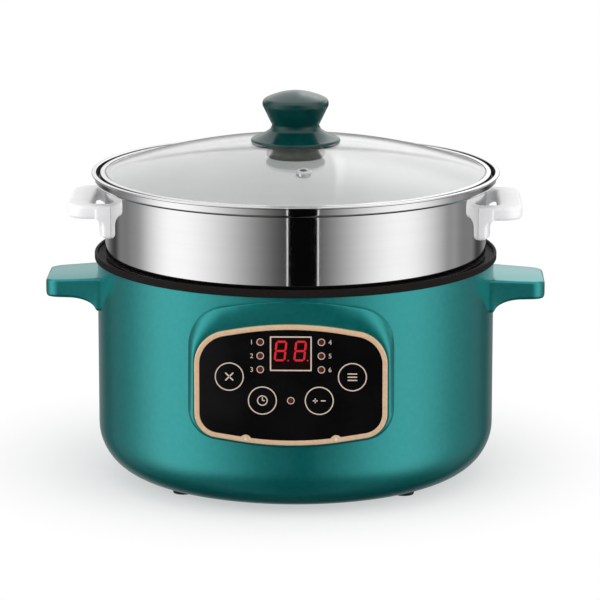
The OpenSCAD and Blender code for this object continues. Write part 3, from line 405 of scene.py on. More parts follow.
# %% Glass
def show_blended(tree, factor, other):
    """Mixes a material's Principled shader with another shader and shows the result."""
    mix = add_node(tree, "ShaderNodeMixShader")
    for socket, source in zip(mix.inputs, (factor, tree.nodes["Principled BSDF"].outputs[0], other)):
        tree.links.new(source, socket)
    tree.links.new(mix.outputs[0], tree.nodes["Material Output"].inputs["Surface"])


def make_glass():
    """Clear glass for the eye, transparent for shadow rays, with faint smears in its roughness."""
    material = finish(
        "clear_glass", (0.96, 0.975, 0.97), (0.98, 0.99, 0.985), (0.0, 0.012), 30, 60, 0.002,
        Transmission_Weight=1.0, IOR=1.47,
    )
    tree = material.node_tree
    clear = add_node(tree, "ShaderNodeBsdfTransparent")
    clear.inputs["Color"].default_value = (0.93, 0.95, 0.945, 1)
    path = add_node(tree, "ShaderNodeLightPath")
    show_blended(tree, path.outputs["Is Shadow Ray"], clear.outputs[0])
    return material


clear_glass = make_glass()
print("glass made")

# %% [markdown]
# ## Finishes on the CAD solids
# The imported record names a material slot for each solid. A table from slot to finish dresses them all at
# once, the hidden ones too, because a reader may take the cooker apart.

# %% Dress the CAD solids
SLOT_FINISHES = {
    "teal_plastic": teal_lacquer, "dark_teal_plastic": dark_teal_gloss, "black_plastic": black_plastic,
    "black_rubber": black_rubber, "plain_steel": plain_steel, "black_coating": black_coating,
    "cast_aluminium": cast_aluminium, "white_plastic": white_plastic, "board_green": board_green,
    "component_black": component_black, "component_yellow": component_yellow, "window_red": window_red,
    "lamp_red": lamp_red, "gold_trim": gold_trim, "panel_black": panel_black, "pin_brass": pin_brass,
    "cable_grey": cable_grey, "lead_brown": lead_brown, "polished_steel": satin_steel,
    "clear_glass": clear_glass, "seat_brown": seat_brown,
}
for part in frame["record"]["subparts"]:
    solid = nodes[part["node"]]
    solid.data.materials.clear()
    solid.data.materials.append(SLOT_FINISHES[part["material_slot"]])

# %% [markdown]
# ## Surfaces from arrays
# Each new piece is a grid of points: one direction runs along a section, the other round the axis or along
# a path. Screw and Bevel modifiers could make many of them. Numpy is chosen because it works out a whole
# grid at once and keeps every radius exact, and neighbouring points make the faces. Sizes are written in
# millimetres, read from the frame's boxes where a box gives them.

# %% Helpers for grids
def box_mm(node):
    """A CAD node's lowest and highest corner in millimetres."""
    return [np.array(corner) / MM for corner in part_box(node)]


def grid_faces(rows, columns, close_rows=False):
    """Quads of a grid that closes round its columns: point (i, j) with its neighbours at i + 1 and j + 1.
    The rows may close too."""
    i = np.arange(rows if close_rows else rows - 1)[:, None]
    j = np.arange(columns)[None, :]
    below, above = i * columns, (i + 1) % rows * columns
    right = (j + 1) % columns
    corners = np.broadcast_arrays(below + j, below + right, above + right, above + j)
    return np.stack(corners, -1).reshape(-1, 4)


def tube(rings):
    """Rings as one array of points, and the faces between them with one face across either end."""
    points = np.stack(rings)
    rows, columns = points.shape[:2]
    first = np.arange(columns)
    last = first + (rows - 1) * columns
    return points, grid_faces(rows, columns).tolist() + [first.tolist(), last.tolist()]


def looped(rings):
    """Rings as one array of points, and the faces between them, where the last ring meets the first."""
    points = np.stack(rings)
    return points, grid_faces(*points.shape[:2], close_rows=True)


print("grid of 3 by 4 closed round has", len(grid_faces(3, 4)), "faces")

# %% A helper that makes a piece
def make_piece(name, points, faces, material, body, slot, replaced=(), crease=35):
    """Turns grid points in millimetres and faces into a piece that rides on a body. Points that fall
    together at a pole are merged, faces are turned outwards, and edges sharper than the crease angle stay
    sharp."""
    mesh = bpy.data.meshes.new(name)
    mesh.from_pydata((np.reshape(points, (-1, 3)) * MM).tolist(), [], [list(face) for face in faces])
    shape = bmesh.new()
    shape.from_mesh(mesh)
    bmesh.ops.remove_doubles(shape, verts=shape.verts, dist=1e-7)
    bmesh.ops.recalc_face_normals(shape, faces=shape.faces)
    shape.to_mesh(mesh)
    shape.free()
    mesh.shade_smooth()
    mesh.set_sharp_from_angle(angle=math.radians(crease))
    mesh.materials.append(material)
    piece = bpy.data.objects.new(name, mesh)
    bpy.context.scene.collection.objects.link(piece)
    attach(piece, body)
    if replaced:
        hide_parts(*replaced)
    print(name, "has", len(mesh.polygons), "faces")


def joined(parts):
    """Several pairs of points and faces as one pair, with the faces of each counted on from the last."""
    points, faces, count = [], [], 0
    for part_points, part_faces in parts:
        flat = np.reshape(part_points, (-1, 3))
        points.append(flat)
        faces.extend([[int(corner) + count for corner in face] for face in part_faces])
        count += len(flat)
    return np.concatenate(points), faces


# %% Helpers for sections
ROUND_STEPS = 240


def unit(vector):
    """The vector's direction, with length one."""
    return vector / np.linalg.norm(vector)


def rounded(corners, steps=8):
    """A closed path through corners (x, y, radius). Each corner is cut back by radius / tan(half its
    angle), and an arc about the point radius / sin(half angle) along its bisector joins the two cuts."""
    points = np.array([corner[:2] for corner in corners], float)
    stretches = []
    for k, (_, _, radius) in enumerate(corners):
        here = points[k]
        if radius == 0:
            stretches.append(here[None])
            continue
        back = unit(points[k - 1] - here)
        ahead = unit(points[(k + 1) % len(points)] - here)
        half = math.acos(np.clip(back @ ahead, -1, 1)) / 2
        centre = here + unit(back + ahead) * radius / math.sin(half)
        first, last = here + back * radius / math.tan(half), here + ahead * radius / math.tan(half)
        start = math.atan2(*(first - centre)[::-1])
        turn = (math.atan2(*(last - centre)[::-1]) - start + 3 * math.pi) % (2 * math.pi) - math.pi
        angle = start + turn * np.linspace(0, 1, steps + 1)
        stretches.append(centre + radius * np.stack([np.cos(angle), np.sin(angle)], -1))
    return np.concatenate(stretches)


def oblong(half_w, half_h, r, steps=8):
    """An oblong about the origin with rounded corners."""
    return rounded([
        (-half_w, -half_h, r), (half_w, -half_h, r), (half_w, half_h, r), (-half_w, half_h, r),
    ], steps)


def spaced(path, longest, closed=True):
    """The path with extra points on stretches longer than the limit, so that shading stays even there."""
    ends = np.roll(path, -1, axis=0) if closed else path[1:]
    starts = path if closed else path[:-1]
    counts = np.maximum(1, np.ceil(np.linalg.norm(ends - starts, axis=1) / longest)).astype(int)
    which = np.repeat(np.arange(len(starts)), counts)
    share = (np.arange(counts.sum()) - np.repeat(np.cumsum(counts) - counts, counts)) / counts[which]
    filled = starts[which] + (ends - starts)[which] * share[:, None]
    return filled if closed else np.concatenate([filled, path[-1:]])


def turned(section, closed, steps=ROUND_STEPS):
    """Turns a half section (r, z) about Z: at angle a its point goes to (r cos a, r sin a, z). The section
    is a closed loop or runs from pole to pole. Returns points and faces."""
    angle = np.linspace(0, 2 * math.pi, steps, endpoint=False)[None, :]
    r, z = section[:, :1], section[:, 1:]
    points = np.stack([r * np.cos(angle), r * np.sin(angle), np.broadcast_to(z, (len(section), steps))], -1)
    return points, grid_faces(len(section), steps, close_rows=closed)


def bezier(a, b, c, d, steps):
    """A cubic curve from a to d, pulled towards b and c."""
    t = np.linspace(0, 1, steps + 1)[:, None]
    a, b, c, d = (np.array(p, float) for p in (a, b, c, d))
    return (1 - t)**3 * a + 3 * (1 - t)**2 * t * b + 3 * (1 - t) * t**2 * c + t**3 * d


print("a rounded oblong has", len(oblong(2, 1, 0.5)), "points")

# %% [markdown]
# ## Housing
# The housing is a moulded bucket: a straight wall on a wide rounded bottom edge. A flat boss for the panel
# stands out of its front and melts into the wall at the top. A flat pad on the back carries the power
# inlet. The bucket is one turned section with two windows in its wall. The boss is a stack of rings between
# the panel's outline and the boss's own, and the pad is a stack of rounded oblongs with a hole for the
# socket. A Boolean could join all three, but it tends to leave uneven shading along its seams, so boss and
# pad simply end inside the wall.

# %% Sizes of the housing and panel
WALL = 2.5
CORNER_R = 34
housing_low, housing_high = box_mm("housing")
BODY_R = round(housing_high[0], 3)
BODY_LOW, BODY_TOP = housing_low[2], housing_high[2]
COVER_R = box_mm("bottom_cover")[1][0]
FLANGE_IN_R = BODY_R - 9
bezel_low, bezel_high = box_mm("panel_bezel")
PANEL_Z = (bezel_low[2] + bezel_high[2]) / 2
PANEL_HALF_W, PANEL_HALF_H = bezel_high[0], (bezel_high[2] - bezel_low[2]) / 2
PANEL_SLOPE = math.radians(9.5)
PANEL_BOW_R, PANEL_TOP_R, PANEL_LOW_R = 220, 23, 17
BEZEL_FRONT = bezel_low[1]
BOSS_FRONT = bezel_high[1]
BOSS_SIDE, BOSS_TOP, BOSS_BOTTOM = 4.8, 15, 2.6
FASCIA_FRONT = box_mm("panel_fascia")[0][1]


def barrel(half_w, top, bottom, top_r, low_r, bow):
    """A barrel outline (x, z): straight upright sides, bowed upper and lower edges, rounded corners."""
    peak = bow * (1 / math.cos(PANEL_SLOPE) - 1)
    fall = half_w * math.tan(PANEL_SLOPE)
    up, down = top + peak, bottom + peak
    return rounded([
        (0, up, bow), (half_w, up - fall, top_r), (half_w, fall - down, low_r),
        (0, -down, bow), (-half_w, fall - down, low_r), (-half_w, up - fall, top_r),
    ], steps=16)


def panel_outline(grow):
    """The panel's outline about its middle, grown by a margin."""
    return barrel(
        PANEL_HALF_W + grow, PANEL_HALF_H + grow, PANEL_HALF_H + grow,
        PANEL_TOP_R + grow, PANEL_LOW_R + grow, PANEL_BOW_R + grow,
    )


def boss_outline(grow):
    """The boss's outline about the panel's middle, grown by a margin."""
    return barrel(
        PANEL_HALF_W + BOSS_SIDE + grow, PANEL_HALF_H + BOSS_TOP + grow, PANEL_HALF_H + BOSS_BOTTOM + grow,
        PANEL_TOP_R + BOSS_SIDE + grow, PANEL_LOW_R + BOSS_SIDE + grow, PANEL_BOW_R + grow,
    )


def standing(outline, y):
    """Stands an outline (x, z) about the panel's middle upright at depth y."""
    return np.stack([outline[:, 0], np.broadcast_to(y, len(outline)), outline[:, 1] + PANEL_Z], -1)


print("panel middle at z =", round(PANEL_Z, 2), "mm, body radius", BODY_R, "mm")

# %% Turn the bucket
inlet_low, inlet_high = box_mm("power_inlet")
INLET_Z = (inlet_low[2] + inlet_high[2]) / 2
INLET_HALF_W, INLET_HALF_H = inlet_high[0], inlet_high[2] - INLET_Z


def window(section, wall, side, half_w, middle_z, half_h):
    """The faces to leave out of both sheets of the wall for an opening, and the faces of the opening's rim:
    a strip above and one below between the sheets, and one face at either end."""
    columns = np.flatnonzero((side * wall[:, 1] > 0) & (np.abs(wall[:, 0]) < half_w))
    r, z = section.T
    rows = (np.abs(z - middle_z) < half_h) & (r > BODY_R - 2 * WALL)
    outer = np.flatnonzero(rows & (r > BODY_R - WALL / 2)) * ROUND_STEPS
    inner = np.flatnonzero(rows & (r < BODY_R - WALL / 2)) * ROUND_STEPS
    left_out = np.add.outer(np.concatenate([outer[:-1], inner[:-1]]), columns[:-1]).ravel()
    rim = [np.concatenate([outer, inner]) + end for end in (columns[0], columns[-1])]
    here, there = columns[:-1], columns[1:]
    for before, behind in ((outer[0], inner[-1]), (outer[-1], inner[0])):
        rim.extend(np.stack([before + here, before + there, behind + there, behind + here], -1))
    return left_out, [face.tolist() for face in rim]


def bucket():
    """The bucket's section turned, with a window behind the panel and one behind the inlet."""
    section = spaced(rounded([
        (COVER_R, BODY_LOW, 0.6), (BODY_R, BODY_LOW, CORNER_R), (BODY_R, BODY_TOP, 0.8),
        (FLANGE_IN_R, BODY_TOP, 0.6), (FLANGE_IN_R, BODY_TOP - WALL, 0.6),
        (BODY_R - WALL, BODY_TOP - WALL, 0.6), (BODY_R - WALL, BODY_LOW + WALL, CORNER_R - WALL),
        (COVER_R, BODY_LOW + WALL, 0.6),
    ], steps=14), 4)
    points, faces = turned(section, True)
    wall = points[np.argmax(section[:, 0])]
    panel_opening = (PANEL_HALF_W - 5, PANEL_Z, PANEL_HALF_H - 10)
    inlet_opening = (INLET_HALF_W - 2, INLET_Z, INLET_HALF_H + 2)
    panel_out, panel_rim = window(section, wall, -1, *panel_opening)
    inlet_out, inlet_rim = window(section, wall, 1, *inlet_opening)
    faces = np.delete(faces, np.concatenate([panel_out, inlet_out]), axis=0)
    return points, faces.tolist() + panel_rim + inlet_rim


bucket_grid = bucket()
print("bucket with two windows has", len(bucket_grid[1]), "faces")

# %% Stack the inlet's pad
PAD_Y, PAD_MARGIN, PAD_R, PAD_EDGE, PAD_SUNK = BODY_R + 0.6, 3, 7, 0.6, 6
SOCKET_HALF_W, SOCKET_HALF_H, SOCKET_R, SOCKET_DEPTH = 14.7, 10.7, 0.5, 10


def inlet_ring(half_w, half_h, r, y):
    """A rounded oblong about the inlet's middle, stood upright at depth y."""
    return standing(oblong(half_w, half_h, r) + (0, INLET_Z - PANEL_Z), y)


def inlet_pad():
    """Rings of rounded oblongs: out of the wall, over a soft edge to the pad's face, in to the socket's
    hole and back inside. The last ring meets the first, so the pad is closed."""
    half_w, half_h = INLET_HALF_W + PAD_MARGIN, INLET_HALF_H + PAD_MARGIN
    soft = 0.3 * PAD_EDGE
    rings = [
        inlet_ring(half_w - inset, half_h - inset, PAD_R - inset, PAD_Y - depth)
        for inset, depth in ((0, PAD_SUNK), (0, PAD_EDGE), (soft, soft), (PAD_EDGE, 0))
    ]
    for depth in (0, SOCKET_DEPTH):
        rings.append(inlet_ring(SOCKET_HALF_W, SOCKET_HALF_H, SOCKET_R, PAD_Y - depth))
    return looped(rings)


pad_grid = inlet_pad()
print("inlet pad has", len(pad_grid[1]), "faces")

# %% Loft the boss
def boss():
    """Rings from under the bezel over the boss's shoulder and back to the middle of the wall. The shoulder
    falls with the square of the way out, by a share of the depth down to the wall but less than its own
    width. Its outer edge then rolls over from the slope reached there to the straight side."""
    edge_r, side_lean = 0.8, 1.5
    bezel_gap, first_gap, under_bezel = 0.6, 0.2, 2.4
    depth_share, least_fall, steepest = 0.42, 0.5, 0.8
    rim, shoulder = panel_outline(bezel_gap), boss_outline(-edge_r / 2)
    across = shoulder - rim
    width = np.linalg.norm(across, axis=1)
    to_wall = -np.sqrt(BODY_R**2 - shoulder[:, 0]**2) - BOSS_FRONT
    fall = np.minimum(depth_share * to_wall + least_fall, steepest * width)
    slope = np.arctan2(2 * fall, width)
    outward = across / width[:, None]
    rings = [standing(panel_outline(grow), BOSS_FRONT) for grow in (-under_bezel, first_gap)]
    for share in np.linspace(0, 1, 11):
        rings.append(standing(rim + share * across, BOSS_FRONT + fall * share**2))
    for share in np.linspace(0, 1, 7)[1:]:
        lean = slope + share * (side_lean - slope)
        past_edge = edge_r * (np.sin(lean) - np.sin(slope))
        depth = edge_r * (np.cos(slope) - np.cos(lean))
        rings.append(standing(shoulder + outward * past_edge[:, None], BOSS_FRONT + fall + depth))
    side = rings[-1]
    into_wall = -np.sqrt((BODY_R - WALL / 2)**2 - side[:, 0]**2) - side[:, 1]
    rings.extend(side + np.outer(share * into_wall, (0, 1, 0)) for share in np.linspace(0, 1, 8)[1:])
    return looped(rings)


make_piece(
    "housing_shell", *joined([bucket_grid, boss(), pad_grid]),
    teal_lacquer, "base", "teal_plastic", ["housing"],
)

# %% [markdown]
# ## Pot
# The pot hangs in the housing by its rim. The rim is a flat ledge with a raised lip, and the steamer stands
# on the ledge inside that lip. A cylinder with faces pushed in could do. One turned section is simpler, and
# gives wall, bottom edge, ledge and lip with their radii.

# %% Turn the pot
POT_WALL, LIP_W, LEDGE_W, POT_CORNER_R = 2, 2.2, 14.3, 20
pot_low, pot_high = box_mm("inner_pot")
RIM_R, RIM_TOP = pot_high[0], pot_high[2]
LIP_IN_R = RIM_R - LIP_W
POT_R = LIP_IN_R - LEDGE_W
LEDGE_TOP = BODY_TOP + POT_WALL
pot_section = spaced(rounded([
    (0, pot_low[2], 0), (POT_R + POT_WALL, pot_low[2], POT_CORNER_R + POT_WALL),
    (POT_R + POT_WALL, BODY_TOP, 0.8), (RIM_R, BODY_TOP, 0.9), (RIM_R, RIM_TOP, LIP_W / 2 - 0.02),
    (LIP_IN_R, RIM_TOP, LIP_W / 2 - 0.02), (LIP_IN_R, LEDGE_TOP, 1.2), (POT_R, LEDGE_TOP, 1.4),
    (POT_R, pot_low[2] + POT_WALL, POT_CORNER_R), (0, pot_low[2] + POT_WALL, 0),
], steps=10), 4, closed=False)
make_piece(
    "pot", *turned(pot_section, False),
    black_coating, "base", "black_coating", ["inner_pot"],
)

# %% [markdown]
# ## Side handles
# Two flat ears are screwed to the housing. A bevelled block would come close, but the underside of each ear
# sweeps down into the wall. So an ear is a row of upright sections from the wall out to the tip. A section
# is a rounded oblong; its width follows the ear's plan, and its lower edge follows the sweep.

# %% Loft the side handles
ear_high = box_mm("side_handle_right")[1]
EAR_TIP_X, EAR_TOP = ear_high[0], ear_high[2]
EAR_ROOT_W, EAR_TIP_W, EAR_TIP_R = 64, 52, 9
EAR_T, EAR_FALL, EAR_FILLET_W, EAR_FILLET_H = 14.5, 2, 19, 9
EAR_TOP_EDGE, EAR_LOW_EDGE, EAR_SUNK = 2.2, 3, 6


def ear(side):
    """Sections at places x from inside the wall to the tip, each a rounded oblong (y, z). The half width
    falls from root to tip and follows the tip's quarter circle. The top falls gently; the underside is the
    top less the thickness, and curves down along a quarter ellipse towards the wall."""
    start_x, taper_x = BODY_R - EAR_SUNK, BODY_R - EAR_ROOT_W / 4
    share = np.linspace(0, 1, 64)
    x = start_x + (EAR_TIP_X - start_x) * np.sin(share * math.pi / 2)
    taper = (x - taper_x) / (EAR_TIP_X - taper_x)
    half_w = EAR_ROOT_W / 2 + taper * (EAR_TIP_W - EAR_ROOT_W) / 2
    into_tip = np.clip((x - (EAR_TIP_X - EAR_TIP_R)) / EAR_TIP_R, 0, 1)
    half_w = half_w - EAR_TIP_R * (1 - np.sqrt(1 - into_tip**2))
    out = np.clip(x - BODY_R, 0, None)
    top = EAR_TOP - EAR_FALL * out / (EAR_TIP_X - BODY_R)
    near_wall = np.clip(1 - (x - BODY_R) / EAR_FILLET_W, 0, 1)
    under = EAR_TOP - EAR_T - EAR_FILLET_H * (1 - np.sqrt(1 - near_wall**2))
    near_tip = np.clip((x - (EAR_TIP_X - EAR_TOP_EDGE)) / EAR_TOP_EDGE, 0, 1)
    nip = EAR_TOP_EDGE * (1 - np.sqrt(1 - near_tip**2))
    top, under = top - nip, under + nip
    yz = np.stack([
        rounded([
            (-w, low, EAR_LOW_EDGE), (w, low, EAR_LOW_EDGE),
            (w, high, EAR_TOP_EDGE), (-w, high, EAR_TOP_EDGE),
        ], 6)
        for w, low, high in zip(half_w, under, top)
    ])
    points = np.concatenate([np.broadcast_to(side * x[:, None, None], (*yz.shape[:2], 1)), yz], -1)
    return tube(points)


for side, name in ((1, "right"), (-1, "left")):
    make_piece(
        f"ear_{name}", *ear(side), teal_lacquer, "base", "teal_plastic", [f"side_handle_{name}"],
    )

# %% [markdown]
# ## Panel trim
# A flat rose gold bezel frames the panel. A curve with a bevel profile could make it. Here its section, a
# low block with soft front edges, is carried round by shrinking the panel's outline, which keeps the
# corners true on both sides. On its lower side two small round tabs rise from it into the panel, each
# pinned by a domed stud.

# %% Frame the panel
BEZEL_W = 3.4
TAB_X, TAB_R = 30.7, 4
LOW_EDGE_Z = PANEL_BOW_R - math.sqrt(PANEL_BOW_R**2 - TAB_X**2) - PANEL_HALF_H
TAB_Z = LOW_EDGE_Z + BEZEL_W - TAB_R / 2
TAB_ROLL = ((0, BOSS_FRONT), (0, BEZEL_FRONT + 0.5), (0.15, BEZEL_FRONT + 0.2), (0.6, BEZEL_FRONT + 0.02))

bezel_section = rounded([
    (0, BOSS_FRONT, 0.2), (0, BEZEL_FRONT, 0.9), (BEZEL_W, BEZEL_FRONT, 0.6), (BEZEL_W, BOSS_FRONT, 0.2),
], steps=6)
bezel_loop = looped([standing(panel_outline(-inset), y) for inset, y in bezel_section])


def tab(x):
    """A round cap's upper part, from the middle of the bezel up. Its rings draw in towards the front."""
    chord = LOW_EDGE_Z + 0.6 * BEZEL_W - TAB_Z
    rings = []
    for inset, y in TAB_ROLL:
        r = TAB_R - inset
        start = math.asin(chord / r)
        angle = np.linspace(start, math.pi - start, 33)
        rings.append(standing(np.stack([r * np.cos(angle) + x, r * np.sin(angle) + TAB_Z], -1), y))
    return tube(rings)


make_piece(
    "bezel", *joined([bezel_loop, tab(-TAB_X), tab(TAB_X)]), gold_trim, "base", "gold_trim", ["panel_bezel"],
)

# %% Pin the tabs with studs
STUD_R, STUD_FRONT, STUD_STEPS = 1.2, 143.58, 48


def button_on_panel(section, closed, x, z, steps):
    """Turns a section (r, height) about an axis that points out of the panel at (x, z)."""
    points, faces = turned(section, closed, steps)
    return np.stack([points[..., 0] + x, -points[..., 2], points[..., 1] + PANEL_Z + z], -1), faces


stud_section = np.concatenate([
    [(0, -BOSS_FRONT), (STUD_R, -BOSS_FRONT)],
    bezier(
        (STUD_R, -BEZEL_FRONT - 0.2), (STUD_R, STUD_FRONT - 0.1),
        (0.6 * STUD_R, STUD_FRONT), (0, STUD_FRONT), 8,
    ),
])
stud_parts = [
    button_on_panel(stud_section, False, side * TAB_X, TAB_Z + TAB_R / 4, STUD_STEPS) for side in (-1, 1)
]
make_piece("studs", *joined(stud_parts), stud_nickel, "base", "plain_steel", ["bezel_studs"])

# %% [markdown]
# ## Prints and display
# Signs on a panel are screen printed: a thin film of paint. A picture could carry them, but it would blur
# up close. So each print is a flat outline given a depth of a tenth of a millimetre, which makes it a
# closed shape. Plain numbers stand by the program lamps, and common signs on the keys. The rings and signs
# of a key ride on that key, so they go in with it.

# %% Helpers for prints
PRINT_LIFT, RING_STEPS, END_SHARE, FRAME_CORNER = 0.05, 96, 0.49, 0.5


def plate(outline):
    """A flat print: its outline stands just inside the panel's face and just before it, both closed."""
    return tube([standing(outline, FASCIA_FRONT + lift) for lift in (PRINT_LIFT, -PRINT_LIFT)])


def washer(x, z, inner_r, outer_r):
    """A printed ring: an oblong section turned about the panel's axis at (x, z)."""
    low, high = -FASCIA_FRONT - PRINT_LIFT, -FASCIA_FRONT + PRINT_LIFT
    section = np.array([(inner_r, low), (outer_r, low), (outer_r, high), (inner_r, high)])
    return button_on_panel(section, True, x, z, RING_STEPS)


def stroke(start, end, width):
    """A straight line with round ends between two points of the panel."""
    start, end = np.array(start, float), np.array(end, float)
    along = unit(end - start) * width / 2
    across = np.array([-along[1], along[0]])
    corners = [start - along - across, end + along - across, end + along + across, start - along + across]
    return plate(rounded([(*corner, END_SHARE * width) for corner in corners], 5))


def oblong_frame(x, z, half_w, half_h, line):
    """A printed oblong frame of one line width with slightly rounded corners."""
    rings = []
    for inset, lift in ((0, -PRINT_LIFT), (0, PRINT_LIFT), (line, PRINT_LIFT), (line, -PRINT_LIFT)):
        outline = oblong(half_w - inset, half_h - inset, FRAME_CORNER, 4)
        rings.append(standing(outline + (x, z), FASCIA_FRONT - lift))
    return looped(rings)


print("a plain stroke has", len(stroke((0, 0), (1, 0), 0.5)[1]), "faces")

# %% Print the display
window_low, window_high = box_mm("display_window")
WINDOW_Z = (window_low[2] + window_high[2]) / 2 - PANEL_Z
DIGIT_W, DIGIT_H, SEGMENT_W, DIGIT_LEAN = 8.0, 14.3, 1.45, math.tan(math.radians(6))
DIGIT_X, DIGIT_Z = (-6.9, 6.3), WINDOW_Z + 1.9
POINT_X, POINT_DROP, POINT_LONG, POINT_W = 5.0, 6.6, 0.2, 1.0
FRAME_HALF_W, FRAME_HALF_H, FRAME_LINE = 14.1, 12.0, 0.9


def segment(start, end, x, z):
    """One bar of a seven-segment digit: a long hexagon with pointed ends, leaned sideways by its height."""
    start, end = np.array(start, float), np.array(end, float)
    along = unit(end - start) * SEGMENT_W / 2
    across = np.array([-along[1], along[0]])
    start, end = start + along / 6, end - along / 6
    outline = np.stack([
        start, start + along - across, end - along - across,
        end, end - along + across, start + along + across,
    ])
    outline[:, 0] += outline[:, 1] * DIGIT_LEAN
    return plate(outline + (x, z))


def digit(x, z):
    """All seven bars of a digit, between the corners and middles of its oblong."""
    w, h = (DIGIT_W - SEGMENT_W) / 2, (DIGIT_H - SEGMENT_W) / 2
    bars = [((-w, level), (w, level)) for level in (-h, 0, h)]
    bars += [((side, low), (side, low + h)) for side in (-w, w) for low in (-h, 0)]
    return [segment(start, end, x, z) for start, end in bars]


bars = [bar for x in DIGIT_X for bar in digit(x, DIGIT_Z)]
make_piece("display_digits", *joined(bars), digit_red, "base", "lamp_red")
point_z = DIGIT_Z - POINT_DROP
points = [stroke((x + POINT_X, point_z), (x + POINT_X + POINT_LONG, point_z), POINT_W) for x in DIGIT_X]
make_piece("display_points", *joined(points), digit_red, "base", "lamp_red")
make_piece(
    "display_frame", *oblong_frame(0, WINDOW_Z, FRAME_HALF_W, FRAME_HALF_H, FRAME_LINE),
    legend_cream, "base", "gold_trim",
)

# %% Print the rings and numbers
LAMP_X, LAMP_Z = 20.6, (30, 20.5, 11)
LAMP_RING, LONE_LAMP = (2.0, 2.5), (0, -10.5)
program_spots = [(side * LAMP_X, z) for side in (-1, 1) for z in LAMP_Z]
NUMERAL_SIZE, NUMERAL_X = 4.6, 26.4


def numeral(sign, x, z):
    """A digit of the built-in font, made a mesh at the origin and then stood on the panel about (x, z)."""
    curve = bpy.data.curves.new("numeral", "FONT")
    curve.body = sign
    curve.size = NUMERAL_SIZE
    curve.extrude = PRINT_LIFT
    text = bpy.data.objects.new("numeral", curve)
    bpy.context.scene.collection.objects.link(text)
    shape = text.evaluated_get(bpy.context.evaluated_depsgraph_get()).to_mesh()
    place = np.empty(3 * len(shape.vertices))
    shape.vertices.foreach_get("co", place)
    faces = [list(face.vertices) for face in shape.polygons]
    bpy.data.objects.remove(text)
    place = place.reshape(-1, 3)
    place -= (place.min(axis=0) + place.max(axis=0)) / 2
    return standing(place[:, :2] + (x, z), FASCIA_FRONT - place[:, 2]), faces


rings = [washer(x, z, *LAMP_RING) for x, z in program_spots + [LONE_LAMP]]
make_piece("lamp_rings", *joined(rings), legend_cream, "base", "gold_trim")
numerals = [
    numeral(str(count), math.copysign(NUMERAL_X, x), z)
    for count, (x, z) in enumerate(program_spots, start=1)
]
make_piece("program_numbers", *joined(numerals), legend_cream, "base", "gold_trim")

# %% Print the keys
KEY_RING, CLOCK_RING = (9.05, 9.8), (2.9, 3.6)
CROSS_REACH, CROSS_W = 2.4, 0.9
LINE_REACH, LINE_PITCH, LINE_W = 2.9, 2.2, 0.8
HANDS, HAND_W = np.array([(0, 2.0), (1.4, 0)]), 0.7
SIGN_X, SIGN_REACH = 2.7, 1.3


def key_middle(name):
    """A key's middle on the panel."""
    low, high = box_mm(f"key_{name}")
    return np.array([low[0] + high[0], low[2] + high[2] - 2 * PANEL_Z]) / 2


def stop_sign(middle):
    """Two crossed strokes."""
    return [
        stroke(middle + (-CROSS_REACH, lean), middle + (CROSS_REACH, -lean), CROSS_W)
        for lean in (-CROSS_REACH, CROSS_REACH)
    ]


def menu_sign(middle):
    """Three level strokes."""
    return [
        stroke(middle + (-LINE_REACH, rise), middle + (LINE_REACH, rise), LINE_W)
        for rise in (-LINE_PITCH, 0, LINE_PITCH)
    ]


def clock_sign(middle):
    """A ring with two hands that start just off its middle, so that they share no corner."""
    hands = [stroke(middle + 0.1 * hand, middle + hand, HAND_W) for hand in HANDS]
    return [washer(*middle, *CLOCK_RING)] + hands


def adjust_sign(middle):
    """A plus and a minus."""
    left, right = middle - (SIGN_X, 0), middle + (SIGN_X, 0)
    level, upright = np.array([(SIGN_REACH, 0), (0, SIGN_REACH)])
    ends = [(right - level, right + level), (left - level, left + level), (left - upright, left + upright)]
    return [stroke(start, end, LINE_W) for start, end in ends]


KEY_SIGNS = {
    "outer_left": stop_sign, "outer_right": menu_sign, "inner_left": clock_sign, "inner_right": adjust_sign,
}
for name, sign in KEY_SIGNS.items():
    middle = key_middle(name)
    make_piece(
        f"key_print_{name}", *joined([washer(*middle, *KEY_RING)] + sign(middle)),
        legend_cream, f"{name}_key", "gold_trim",
    )

# %% [markdown]
# ## Steamer tier
# The steamer is a drum of sheet steel, polished outside and matt inside. A collar at its foot drops into
# the pot and a tight shoulder stands on the ledge. The upper edge steps out into a gutter for the lid's
# band, turns up and ends in a hemmed lip. Rings could be stacked for this, but mirrored light would break
# at their seams, so all of it is one section, turned.

